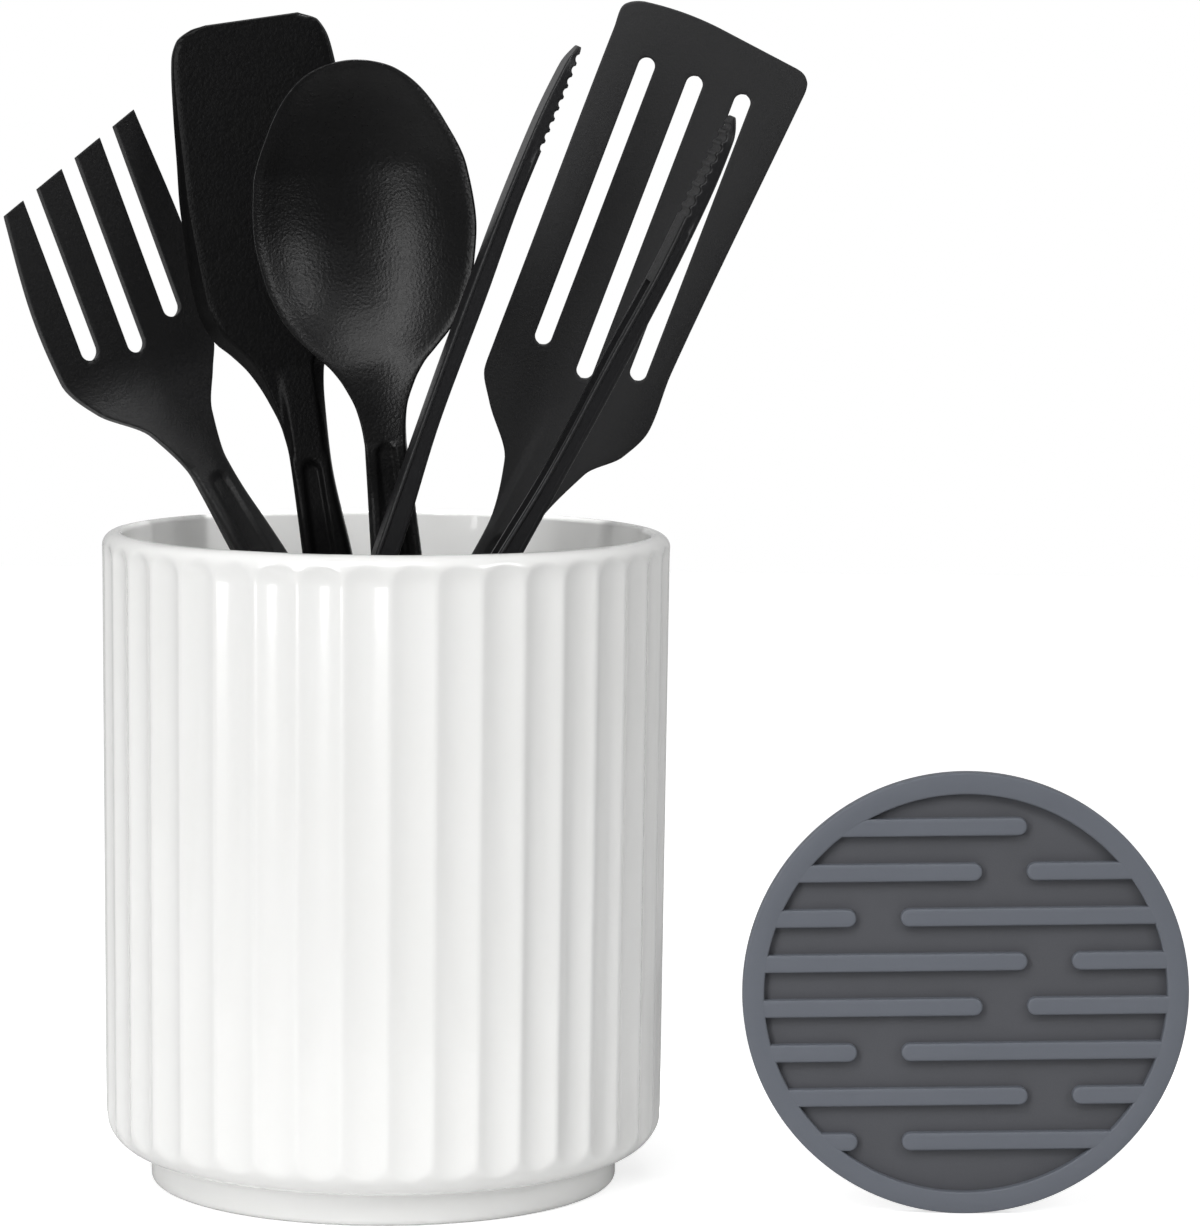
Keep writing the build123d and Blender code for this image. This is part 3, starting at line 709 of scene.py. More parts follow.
@dataclass
class BladeTool:
    """A nylon tool: a grooved handle that runs into a head, as one plate with two shaped faces.

    Attributes:
        node: CAD node that it replaces, also its name and its body.
        finish: its finish.
        plane: the plane that it stands in.
        handle: its handle.
        head_left: points (reach, height) of the left side above the neck.
        head_right: points of the right side.
        blade_edge: radius of the blade's edges.
        wedge_top: height at which the handle's ridge has sunk to its end value.
        wedge_end: that end value.
        edge_change: where the edges change, from below to above the neck.
        RIDGE_START: share of the neck's height where the ridge begins to fall. The ridge's sides lie
            RIDGE_INSET inside the neck's, are eased over RIDGE_EASE, and start over RIDGE_FADE.
        FOLD: places of the two columns beside a crease.
        EDGE_SPAN: most of a land's width that its edge columns take up.
    """

    node: str
    finish: Finish
    plane: StandingPlane
    handle: GroovedHandle
    head_left: tuple[tuple[float, float], ...] = ()
    head_right: tuple[tuple[float, float], ...] = ()
    blade_edge: float = 0.5
    wedge_top: float = 0.0
    wedge_end: float = 0.0

    EDGE_SHARES = (0.0, 0.035, 0.14, 0.31, 0.56, 0.82, 1.08)
    EDGE_SPAN = 0.45
    FOLD = (-0.05, 0.25)
    OPEN = 1e-6
    RIDGE_START = 0.92
    RIDGE_INSET = 1.9
    RIDGE_EASE = 2.4
    RIDGE_FADE = 5.0
    edge_change = (-12.0, 16.0)
    face_height = 0.0
    slot_start = 0.0

    def rows(self) -> Array:
        """Heights of the grid's rows, from the bottom up."""
        raise NotImplementedError

    def front(self, x: Array, y: Array, inside: Array) -> Array:
        """Height of the front face, also from the distance inside the outline."""
        return self.over(x, y) - self.handle.groove(x, y) - self.edge(y, inside)

    def back(self, x: Array, y: Array, inside: Array) -> Array:
        """Height of the back face: the same ridge the other way."""
        return -self.over(x, y) + self.edge(y, inside)

    def slots(self) -> list[Slot]:
        """The slots, from the left."""
        return []

    def lift(self, x: Array, y: Array) -> Array:
        """How far points are raised, for a slanted or curved tip."""
        return np.zeros_like(x)

    def crease(self, y: Array) -> Optional[Array]:
        """Width of a creased border, or none."""
        return None

    def side(self, side: Side) -> Curve:
        """One long side over the whole length."""
        head = self.head_left if side is Side.LEFT else self.head_right
        return with_round_end(smooth_curve(self.handle.side_points(side) + list(head)), side)

    def sides(self) -> list[Curve]:
        """Every upright line from the left: the left side, both sides of each slot, the right side."""
        left, right = self.side(Side.LEFT), self.side(Side.RIGHT)
        lines, slots = [left], self.slots()
        for number, slot in enumerate(slots, 1):
            lines += slot.sides(left, right, self.slot_start, number / (len(slots) + 1))
        return lines + [right]

    def round_edge(self, height: Array) -> Array:
        """Radius of the edges, from the handle's to the blade's."""
        low, high = (self.handle.neck_height + change for change in self.edge_change)
        return blend(height, low, high, self.handle.edge_round, self.blade_edge)

    def edge(self, y: Array, inside: Array) -> Array:
        """Fall of the rounded edge at each height and distance inside the outline."""
        return edge_drop(inside, self.round_edge(y))

    def over(self, x: Array, height: Array) -> Array:
        """The handle's ridge over the face, the higher of the two, with eased sides.

        The ridge is as high as half the handle, and falls in a straight line from below the neck.
        """
        neck = self.handle.neck_height
        wedge = np.interp(
            height, [neck * self.RIDGE_START, self.wedge_top], [self.handle.thickness / 2, self.wedge_end]
        )
        face = np.full_like(x, self.face_height)
        away = np.abs(x - self.handle.neck_shift) - (self.handle.neck_width / 2 - self.RIDGE_INSET)
        ridge = 1.0 - smooth_step(away / self.RIDGE_EASE)
        fade = 1 - smooth_step((height - neck) / self.RIDGE_FADE)
        ridge = np.where(height < neck, 1.0, ridge + (1 - ridge) * fade)
        return face + np.maximum(wedge - face, 0.0) * ridge

    def columns(self, rows: Array, low: Array, high: Array, middle: int) -> Array:
        """Places of one land's columns: close at both edges and a crease, even between them."""
        width = (high - low)[:, None]
        inset = np.array(self.EDGE_SHARES)[None] * self.round_edge(rows)[:, None]
        crease = self.crease(rows)
        if crease is not None:
            fold = np.maximum(crease[:, None], inset[:, -1:] + 0.1)
            inset = np.concatenate([inset, *(fold + step for step in self.FOLD)], axis=1)
        inset = inset * np.minimum(1.0, self.EDGE_SPAN * width / inset[:, -1:])
        share = np.linspace(0, 1, middle + 2)[1:-1][None]
        near, far = low[:, None] + inset, high[:, None] - inset[:, ::-1]
        between = near[:, -1:] + (far[:, :1] - near[:, -1:]) * share
        return np.concatenate([near, between, far], axis=1)

    def outline(self, rows: Array, sides: list[Curve]) -> list[Array]:
        """Polylines of the outline and of each slot, for the distance to the edge."""
        dense = np.interp(np.linspace(0, len(rows) - 1, 3 * len(rows)), np.arange(len(rows)), rows)

        def raised(x: Array, y: Array) -> Array:
            """Points with the tip's lift."""
            return np.stack([x, y + self.lift(x, y)], axis=1)

        lines = [raised(sides[0](dense), dense), raised(sides[-1](dense), dense)]
        for end in (rows[0], rows[-1]):
            for low, high in zip(sides[::2], sides[1::2]):
                x = np.linspace(float(low(end)), float(high(end)), 24)
                lines.append(raised(x, np.full(24, end)))
        for low, high in zip(sides[1:-1:2], sides[2:-1:2]):
            pair = low(dense), high(dense)
            shown = np.flatnonzero(pair[1] - pair[0] > self.OPEN)
            part = slice(max(shown[0] - 1, 0), shown[-1] + 2)
            lines += [raised(x[part], dense[part]) for x in pair]
        return lines

    def build(self) -> bpy.types.Object:
        """Makes the tool as one closed mesh: both faces of each land and every wall between them.

        Returns:
            The tool's object.
        """
        rows, sides = self.rows(), self.sides()
        lines = self.outline(rows, sides)
        places = [side(rows) for side in sides]
        always = np.ones(len(rows), bool)
        walls = [always, *(b - a > self.OPEN for a, b in zip(places[1:-1:2], places[2:-1:2])), always]
        shell = Shell()
        for land, (low, high) in enumerate(zip(places[::2], places[1::2])):
            x = self.columns(rows, low, high, 22 if len(sides) == 2 else 9)
            y = np.repeat(rows[:, None], x.shape[1], axis=1)
            y = y + self.lift(x, y)
            inside = distance_to_lines(np.stack([x.ravel(), y.ravel()], 1), lines).reshape(x.shape)
            front = self.plane.place(np.stack([x, y, self.front(x, y, inside)], axis=-1))
            back = self.plane.place(np.stack([x, y, self.back(x, y, inside)], axis=-1))
            shell.add_grid(front)
            shell.add_grid(back[:, ::-1])
            for column, gap in ((0, walls[land]), (-1, walls[land + 1])):
                keep = (gap[1:] | gap[:-1])[:, None]
                shell.add_grid(np.stack([front[:, column], back[:, column]], axis=1), keep=keep)
            for row in (0, -1):
                shell.add_grid(np.stack([front[row], back[row]], axis=0))
        piece = shell.make(self.node, sharp_degrees=50.0)
        dress(piece, self.finish, self.node)
        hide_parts(self.node)
        return piece


class Spoon(BladeTool):
    """Spoon whose bowl is a turned hollow: every cross-section is a circular arc about one axis."""

    rim_lift = 5.0
    rim_width = 1.2
    axis_lift = 31.25
    softness = 0.22
    edge_change = (-18.0, 6.0)
    rim_rise = (162.0, 178.0)
    no_hollow = 50.0
    ridge_half = (178.0, 216.0, 4.6, 2.2)
    ridge_drop = 9.0
    ridge_ease = 3.4
    bowl_start = 172.0
    bowl_ease = 12.0
    keel = (
        (5.5, 178.0), (5.8, 182.0), (6.9, 188.0), (9.6, 194.5), (12.6, 199.2), (15.95, 202.7), (21.5, 208.8),
        (25.4, 215.5), (28.3, 224.5), (29.9, 236.6), (28.7, 250.0), (23.6, 263.3), (18.9, 271.3),
        (11.96, 277.7), (0.0, 280.8),
    )

    def outer_radius(self, height: Array) -> Array:
        """Radius of the bowl's outside about its axis."""
        return smooth_curve([(math.hypot(w, self.axis_lift), y) for w, y in self.keel])(height)

    def half_width(self, height: Array) -> Array:
        """Half width of the bowl: the root of its radius squared less the axis height squared."""
        return np.sqrt(np.maximum(self.outer_radius(height) ** 2 - self.axis_lift ** 2, 0.0))

    def side(self, side: Side) -> Curve:
        """One side over the whole length: the handle's up to the neck, then the bowl's."""
        handle, neck = smooth_curve(self.handle.side_points(side)), self.handle.neck_height
        return with_round_end(
            lambda h: np.where(np.asarray(h) < neck, handle(h), side.value * self.half_width(h)), side
        )

    def rows(self) -> Array:
        """Rows, close together where the outline turns round the tip."""
        return tool_rows(168, clustered(168.8, 270, 0.8), (270.0, 10.8, 40))

    def front(self, x: Array, y: Array, inside: Array) -> Array:
        """Rim plane or hollow, whichever is lower, with a softened change between them.

        The hollow is turned about the bowl's own axis, so that its rim has one width all round.
        """
        rim = blend(y, *self.rim_rise, self.handle.thickness / 2, self.rim_lift)
        reach = np.hypot(np.maximum(self.half_width(y) - self.rim_width, 0.0), self.axis_lift)
        hollow = self.rim_lift + self.axis_lift - np.sqrt(np.maximum(reach ** 2 - x ** 2, 0.0))
        hollow = np.where(y > self.handle.neck_height, hollow, self.no_hollow)
        top = soft_least(rim, hollow, self.softness)
        return top - self.handle.groove(x, y) - self.edge(y, inside)

    def back(self, x: Array, y: Array, inside: Array) -> Array:
        """Outside of the bowl, or the handle's ridge that runs out under it."""
        half = self.handle.thickness / 2
        low = -half + self.edge(y, inside)
        outer = self.rim_lift + self.axis_lift - np.sqrt(np.maximum(self.outer_radius(y) ** 2 - x ** 2, 0.0))
        away = np.abs(x) - blend(y, *self.ridge_half)
        ridge = -half + self.ridge_drop * smooth_step(away / self.ridge_ease)
        share = smooth_step((y - self.bowl_start) / self.bowl_ease)
        return np.minimum(low * (1 - share) + np.minimum(outer, ridge) * share, self.front(x, y, inside))


class SolidTurner(BladeTool):
    """Turner with a flat face whose flanks slope back to deep edges."""

    flank = (175.0, 210.0, 0.15, 3.6)
    flank_fade = ((228.0, 290.0), (1.0, 0.1))
    head_start = 174.0
    head_ease = 30.0

    def rows(self) -> Array:
        """Rows, close together at the tip's corners."""
        return tool_rows(166, clustered(166.8, 284, 0.9), (284.0, 9.6, 34))

    def crease(self, y: Array) -> Array:
        """Width of the flank: broadest at the shoulders, almost nothing at the tip."""
        return blend(y, *self.flank) * np.interp(y, *self.flank_fade)

    def head(self, y: Array) -> Array:
        """Share of the head's own shape: 0 on the handle, 1 on the head."""
        return smooth_step((y - self.head_start) / self.head_ease)

    def depth(self, y: Array) -> Array:
        """Depth of the head: growing to the shoulders, then thinning to the tip."""
        return np.interp(y, [173.0, 212.0, 234.8, 293.5], [self.handle.thickness / 2, 4.2, 4.2, 1.3])

    def front(self, x: Array, y: Array, inside: Array) -> Array:
        """Flat face with its flanks, under the handle's ridge."""
        head = self.head(y)
        slope = -self.depth(y) * np.clip(1.0 - inside / self.crease(y), 0.0, 1.0) * head
        return self.over(x, y) - self.handle.groove(x, y) + slope - self.edge(y, inside) * (1.0 - head)

    def back(self, x: Array, y: Array, inside: Array) -> Array:
        """Flat back, tapering to the tip."""
        low = -self.depth(y) + self.edge(y, inside) * (1.0 - self.head(y))
        return np.minimum(low, self.front(x, y, inside))


class SlottedTurner(BladeTool):
    """Turner with three slots, set askew in a thin blade with a curved tip."""

    face_height = 1.2
    slot_start = 140.0
    top = 318.6
    slot_centre = (-6.5, 263.0)
    slot_spacing = 13.9
    slot_width = 4.6
    slot_length = 83.0
    middle_extra = 4.6
    tilt_degrees = 6.6
    tip_start = 306.0
    tip_turn = -11.0
    tip_curve = 0.00612

    def slots(self) -> list[Slot]:
        """The three slots: places across, turned together about their common centre."""
        c, s = math.cos(math.radians(self.tilt_degrees)), math.sin(math.radians(self.tilt_degrees))
        made = []
        for place in (-1, 0, 1):
            extra = 0.0 if place else self.middle_extra
            reach = (self.slot_length + extra - self.slot_width) / 2
            across = place * self.slot_spacing
            ends = [
                (self.slot_centre[0] + across * c - along * s, self.slot_centre[1] + across * s + along * c)
                for along in (-extra / 2 - reach, -extra / 2 + reach)
            ]
            made.append(Slot(ends[0], ends[1], self.slot_width))
        return made

    def rows(self) -> Array:
        """Rows, close together at the slots' ends and at the tip's corners."""
        half = self.slot_width / 2
        ends = tuple(e for s in self.slots() for e in (s.low[1] - half + 1.2, s.high[1] + half - 1.2))
        return tool_rows(160, clustered(160.8, 312.6, 1.1, close=ends, fine=0.22), (312.6, 6.0, 22))

    def lift(self, x: Array, y: Array) -> Array:
        """Lowers the tip's rows onto its end, a parabola, in proportion from the tip's start up."""
        bend = self.tip_curve * np.maximum(self.tip_turn - x, 0.0) ** 2
        return -bend * np.clip((y - self.tip_start) / (self.top - self.tip_start), 0.0, 1.0)


class Fork(BladeTool):
    """Serving fork: four tines on a head that bends forward in an arc."""

    face_height = 1.5
    slot_start = 160.0
    bend_degrees = 22.0
    bend_radius = 40.0
    bend_height = 224.0
    top = 287.0
    middle = -3.7
    spacing = 13.7
    gap = 5.6
    gap_bottoms = (232.8, 228.8, 232.8)
    slant = 0.2
    slant_start = 250.0
    right_tip = 19.5

    def slots(self) -> list[Slot]:
        """The gaps between the tines, open at the top."""
        places = [self.middle + (number - 1) * self.spacing for number in range(len(self.gap_bottoms))]
        return [
            Slot((x, bottom + self.gap / 2), (x, self.top + 5.0), self.gap, open_top=True)
            for x, bottom in zip(places, self.gap_bottoms)
        ]

    def rows(self) -> Array:
        """Rows, close together at the gaps' round bottoms."""
        return tool_rows(180, clustered(180.9, self.top, 1.1, close=(230.2, 234.2, self.top), fine=0.24))

    def lift(self, x: Array, y: Array) -> Array:
        """Slants the tips: the left one ends 9.2 mm lower than the right one."""
        share = np.clip((y - self.slant_start) / (self.top - self.slant_start), 0.0, 1.0)
        return -(self.right_tip - x) * self.slant * share

    def bend(self, y: Array) -> tuple[Array, Array]:
        """Middle of the bent plate and the cosine of its slope: flat, then an arc, then straight."""
        angle = math.radians(self.bend_degrees)
        start = self.bend_height - self.bend_radius * math.tan(angle / 2)
        end = start + self.bend_radius * math.sin(angle)
        reach = np.clip(y - start, 0.0, end - start)
        arc = self.bend_radius - np.sqrt(self.bend_radius ** 2 - reach ** 2)
        middle = arc + np.maximum(y - end, 0.0) * math.tan(angle)
        return middle, np.sqrt(1.0 - (reach / self.bend_radius) ** 2)

    def front(self, x: Array, y: Array, inside: Array) -> Array:
        """Front of the bent head."""
        middle, cosine = self.bend(y)
        return middle + super().front(x, y, inside) / cosine

    def back(self, x: Array, y: Array, inside: Array) -> Array:
        """Back of the bent head."""
        middle, cosine = self.bend(y)
        return middle + super().back(x, y, inside) / cosine


@dataclass
class TongsArm:
    """One arm of the tongs: a channel open to the middle, two ears on the pin and a toothed head."""

    side: Side
    node: str
    body: str
    ear_low: float
    ear_high: float
    hole: float
    heel: float
    plane: StandingPlane = StandingPlane((-48.5908, -25.0036, 26.1761), -23.7, 5.0)
    length: float = 298.2
    closing_degrees: float = 7.94
    thickness: float = 5.6
    width: float = 17.0
    head_width: float = 21.0
    barrel: float = 6.5
    web: float = 2.0
    flange: float = 2.2
    corner: float = 8.0
    channel: tuple[float, float, float] = (18.0, 59.6, 249.7)
    spring_slot: tuple[float, float] = (2.7, 6.0)
    start: float = 7.0
    grips: int = 9
    grip_pitch: float = 3.1
    grip_radius: float = 1.302
    grip_depth: float = 0.7

    GRIP_ROWS = (264.2, 296.8, 0.19)
    RECESS_DEPTH = 0.3
    RECESS_START = (30.0, 12.0)
    RECESS_END = (262.0, 10.0)
    RECESS = ((0.0, 0.0), (0.12, 0.35), (0.3, 1.0))
    INNER = (
        (0.0, 0.09), (0.04, 0.09), (0.39, 0.09), (0.527, 0.09), (0.654, 0.43), (0.766, 0.41), (0.863, 0.45),
        (0.95, 0.25), (1.0, 0.2),
    )
    OUTER = (
        (0.0, 1.16), (0.186, 0.95), (0.385, 1.0), (0.57, 1.2), (0.74, 1.27), (0.878, 1.16), (0.93, 1.02),
        (0.98, 0.73), (1.0, 0.4),
    )

    def edge(self, shares: tuple, y: Array) -> Array:
        """Long edge: the height times the slope of the open arm, plus a share of the thickness."""
        spread = math.tan(math.radians(self.closing_degrees / 2))
        points = [(h * self.length * spread + t * self.thickness, h * self.length) for h, t in shares]
        return smooth_curve(points)(y)

    def scallops(self, y: Array) -> Array:
        """Depth of the grips in the inner edge: arcs of one circle, evenly spaced."""
        place = (self.length - y) / self.grip_pitch
        away = (place - np.clip(np.round(place), 1, self.grips)) * self.grip_pitch
        arc = np.sqrt(np.maximum(self.grip_radius ** 2 - away ** 2, 0.0))
        return np.maximum(arc - (self.grip_radius - self.grip_depth), 0.0)

    def half_width(self, y: Array) -> Array:
        """Half width out of the face: even, widening to the head, rounded at the tip."""
        wide = np.interp(y, [0.654 * self.length, 0.837 * self.length], [self.width / 2, self.head_width / 2])
        rise = np.clip(y - (self.length - self.corner), 0.0, self.corner)
        return wide - (self.corner - np.sqrt(self.corner ** 2 - rise ** 2))

    def pocket(self, y: Array, inner: Array, outer: Array) -> tuple[Array, Array]:
        """Floor and half width of the channel: shut, a slot for the spring, shut, then deep."""
        low, start, end = self.channel
        main = (y > start) & (y < end)
        slot = y < low
        slot_half, slot_floor = self.spring_slot
        floor = np.where(main, outer - self.web, np.where(slot, slot_floor, inner + 0.02))
        half = np.where(slot, slot_half, self.width / 2 - self.flange)
        return np.maximum(floor, inner + 0.02), half

    def arm_grid(self) -> Array:
        """Grid of the arm: one closed C-shaped loop across, carried up the arm.

        Each loop has the back of the web, the front flange with a shallow recess between its rims,
        the channel, and the same mirrored. Rows lie close together where the channel starts or ends,
        along the grips and at the tip.
        """
        steps = np.array(self.channel)
        rows = [
            clustered(self.start, 264.0, 2.2), steps - 0.03, steps + 0.03, steps - 0.4, steps + 0.4,
            np.arange(*self.GRIP_ROWS),
            self.length - self.corner + self.corner * np.sin(np.linspace(0, math.pi / 2, 30)),
        ]
        y = np.unique(np.round(np.concatenate(rows), 4))
        y = y[(y >= self.start) & (y <= self.length)]
        inner = self.edge(self.INNER, y) + self.scallops(y)
        outer = np.maximum(self.edge(self.OUTER, y), inner + 0.6)
        half = np.maximum(self.half_width(y), 0.6)
        floor, pocket = self.pocket(y, inner, outer)
        pocket = np.minimum(pocket, half - 0.4)
        span = outer - inner
        r = np.minimum(0.7, np.minimum(span, half) * 0.3)
        rim = np.minimum(1.0, span * 0.22)
        begins, ends = (smooth_step((y - at) / ease) for at, ease in (self.RECESS_START, self.RECESS_END))
        depth = self.RECESS_DEPTH * begins * (1 - ends)
        loop = [(outer, np.zeros_like(y)), (outer, half * 0.45), (outer, half - r * 1.6), (outer, half - r)]
        for angle in np.radians([22.5, 45.0, 67.5, 90.0]):
            loop.append((outer - r + r * math.cos(angle), half - r + r * math.sin(angle)))
        loop += [(outer - r - rim * 0.35 - step, half - depth * share) for step, share in self.RECESS]
        loop.append(((outer + inner) / 2, half - depth))
        loop += [(inner + r + rim * 0.35 + step, half - depth * share) for step, share in self.RECESS[::-1]]
        for angle in np.radians([90.0, 67.5, 45.0, 22.5, 0.0]):
            loop.append((inner + r - r * math.cos(angle), half - r + r * math.sin(angle)))
        loop += [
            (inner, (half + pocket) / 2 - r * 0.3), (inner, pocket + 0.12), (inner, pocket),
            (floor - np.minimum(0.5, (floor - inner) * 0.4), pocket),
            (floor, np.maximum(pocket - 0.5, pocket * 0.5)), (floor, pocket * 0.3),
        ]
        x = np.stack([p[0] for p in loop], 1)
        z = np.stack([p[1] for p in loop], 1)
        x = np.concatenate([x, x[:, ::-1][:, :-1]], 1)
        z = np.concatenate([z, -z[:, ::-1][:, :-1]], 1)
        return np.stack([x, np.repeat(y[:, None], x.shape[1], 1), z], -1)

    def ear_outline(self, angle: Array) -> Array:
        """Reach of an ear from the pin in each direction: a disc, the arm's root and the heel."""
        c, s = np.cos(angle), np.sin(angle)
        reach = np.full_like(angle, self.barrel)
        root = (c > 0.08) & (s > 0)
        block = np.minimum(self.barrel / np.maximum(c, 1e-6), 2 * self.barrel / np.maximum(s, 1e-6))
        reach = np.where(root, np.maximum(reach, block), reach)
        if self.heel > 0:
            wall = self.barrel / np.maximum(np.abs(c), 1e-6)
            down = -self.heel * s
            disc = down + np.sqrt(np.maximum(down ** 2 - self.heel ** 2 + self.barrel ** 2, 0.0))
            heel = np.where(wall * -s < self.heel, wall, disc)
            reach = np.where(s < 0, np.maximum(reach, heel), reach)
        return reach

    def ear_grid(self, front: int) -> Array:
        """Closed ring grid of one ear: its hole, both faces and its outer edge."""
        angle = np.linspace(0, 2 * math.pi, 161)[:-1]
        reach = self.ear_outline(angle)
        low, high = self.ear_low, self.ear_high
        rings = (
            (self.hole, low), (self.hole, high), (self.hole + 0.5, high), (reach - 0.3, high),
            (reach, high - 0.3), (reach, low + 0.3), (reach - 0.3, low), (self.hole + 0.5, low),
        )
        return np.stack([
            np.column_stack([polar(radius, angle), np.full_like(angle, front * z)]) for radius, z in rings
        ])

    def build(self) -> bpy.types.Object:
        """Makes the arm and its two ears as one object.

        Returns:
            The arm's object.
        """
        flip = np.array([self.side.value, 1.0, 1.0])
        shell = Shell()
        grid = self.plane.place(self.arm_grid() * flip)
        half = grid.shape[1] // 2
        shell.add_grid(grid, around=True)
        for row in (0, -1):
            shell.add_grid(np.stack([grid[row, :half + 1], grid[row, ::-1][:half + 1]], 1)[:, [0, 1]])
        for front in (-1, 1):
            shell.add_grid(self.plane.place(self.ear_grid(front) * flip), around=True, closed=True)
        piece = shell.make(self.node, sharp_degrees=38.0)
        dress(piece, TONGS_NYLON, self.body)
        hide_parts(self.node)
        return piece


@dataclass
class Mat:
    """Round silicone mat on its edge: a thin disc, a raised ring and rows of raised bars."""

    centre: tuple[float, float, float] = (156.0, -39.0, 59.25)
    radius: float = 59.25
    base: float = 2.0
    relief: float = 2.5
    ring: float = 5.8
    bar: float = 4.7
    spacing: float = 12.05
    top_row: float = 44.7
    gap_half: float = 5.9
    tilt_degrees: float = 1.2
    gaps: tuple[float, ...] = (22.3, 10.4, -23.0, 22.3, 10.4, -23.0, 22.3, -23.0)
    bar_sink: float = 0.03

    ROUNDED = ((0.0, 0.5), (0.06, 0.27), (0.2, 0.1), (0.5, 0.0))

    def place(self, local: Array, tilted: bool = True) -> Array:
        """Turns local points, x across and y up and z towards the viewer, into the frame."""
        turn = math.radians(self.tilt_degrees if tilted else 0.0)
        x = local[..., 0] * math.cos(turn) - local[..., 1] * math.sin(turn)
        y = local[..., 0] * math.sin(turn) + local[..., 1] * math.cos(turn)
        return np.stack([self.centre[0] + x, self.centre[1] - local[..., 2], self.centre[2] + y], -1)

    def turned(self, profile: list[tuple[float, float]]) -> Array:
        """Turns a profile of (radius, depth) points about the middle."""
        angle = np.linspace(0, 2 * math.pi, 361)[:-1]
        table = np.array(profile, float)
        depth = np.repeat(table[:, 1:, None], len(angle), 1)
        return np.concatenate([polar(table[:, :1], angle), depth], -1)

    def bars(self) -> list[tuple[float, float, float]]:
        """Rows of bars as (first end, last end, height): each runs from a gap to the ring."""
        made = []
        for number, gap in enumerate(self.gaps):
            row = self.top_row - number * self.spacing
            reach = math.sqrt((self.radius - self.ring / 2) ** 2 - row ** 2)
            for side in (-1, 1):
                inner = gap + side * (self.gap_half + self.bar / 2)
                if side * (side * reach - inner) > self.bar:
                    made.append((min(inner, side * reach), max(inner, side * reach), row))
        return made

    def bar_grid(self, low: float, high: float, row: float) -> Array:
        """Rings of a bar with round ends: its outline at each level, drawn in at the top edge.

        Its top lies a little under the ring's, so that no two faces fall together.
        """
        half = polar(1.0, np.linspace(-math.pi / 2, math.pi / 2, 17))
        unit = np.concatenate([half, -half])
        ends = np.concatenate([np.full(17, high), np.full(17, low)])
        top = self.relief - self.bar_sink
        levels = []
        for inset, z in [(0.0, -0.45), *((inset, top - drop) for inset, drop in self.ROUNDED), (1.4, top)]:
            reach = self.bar / 2 - inset
            levels.append(np.column_stack([ends + unit[:, 0] * reach, row + unit[:, 1] * reach, np.full(34, z)]))
        return np.stack(levels)

    def build(self) -> list[bpy.types.Object]:
        """Makes the mat's floor and its raised lines.

        Returns:
            Both objects.
        """
        edge, inner = self.radius - 0.02, self.radius - self.ring
        top, low = self.relief, -self.base
        floor = Shell()
        floor.add_grid(self.place(self.turned([
            (0, 0.0), (20, 0.0), (40, 0.0), (edge - 0.9, 0.0), (edge - 0.5, -0.1), (edge - 0.5, low + 0.4),
            (edge - 0.6, low + 0.1), (edge - 0.9, low), (40, low), (20, low), (0, low),
        ]), False), around=True)
        base = floor.make("mat_base")
        # The floor's darker grey is partly painted shade of the recess between the raised lines
        dress(base, SILICONE_FLOOR_WITH_PAINTED_SHADE, "mat")
        lines = Shell()
        lines.add_grid(self.place(self.turned([
            (inner, -0.4), *((inner + inset, top - drop) for inset, drop in self.ROUNDED),
            (edge - 0.6, top), (edge - 0.25, top - 0.1), (edge - 0.07, top - 0.27), (edge, top - 0.6),
            (edge, low + 0.5), (edge - 0.1, low + 0.2), (edge - 0.4, low + 0.05), (edge - 1.2, low + 0.05),
            (edge - 1.2, -0.4),
        ]), False), around=True, closed=True)
        for low, high, row in self.bars():
            grid = self.place(self.bar_grid(low, high, row))
            lines.add_grid(grid, around=True)
            for level in (0, -1):
                right, left = grid[level, :17], grid[level, 17:][::-1]
                lines.add_grid(np.stack([right, left], 1))
        relief = lines.make("mat_relief", sharp_degrees=60.0)
        dress(relief, SILICONE_LINES, "mat")
        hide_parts("mat")
        return [base, relief]


@dataclass(frozen=True)
class Lamp:
    """A soft lamp that faces a point. Places and sizes are in metres, power in watts."""

    name: str
    place: tuple[float, float, float]
    target: tuple[float, float, float]
    size: tuple[float, float]
    watts: float

    def hang(self) -> None:
        """Adds the lamp, its face square to the line from its target."""
        data = bpy.data.lights.new(self.name, "AREA")
        data.shape = "RECTANGLE"
        data.size, data.size_y = self.size
        data.energy = self.watts
        away = np.array(self.place) - np.array(self.target)
        z = away / np.linalg.norm(away)
        x = np.cross([0.0, 0.0, 1.0] if abs(z[2]) < 0.99 else [0.0, 1.0, 0.0], z)
        x /= np.linalg.norm(x)
        turn = Matrix((x, np.cross(z, x), z)).transposed()
        made = linked(self.name, data)
        made.matrix_world = Matrix.Translation(self.place) @ turn.to_4x4()


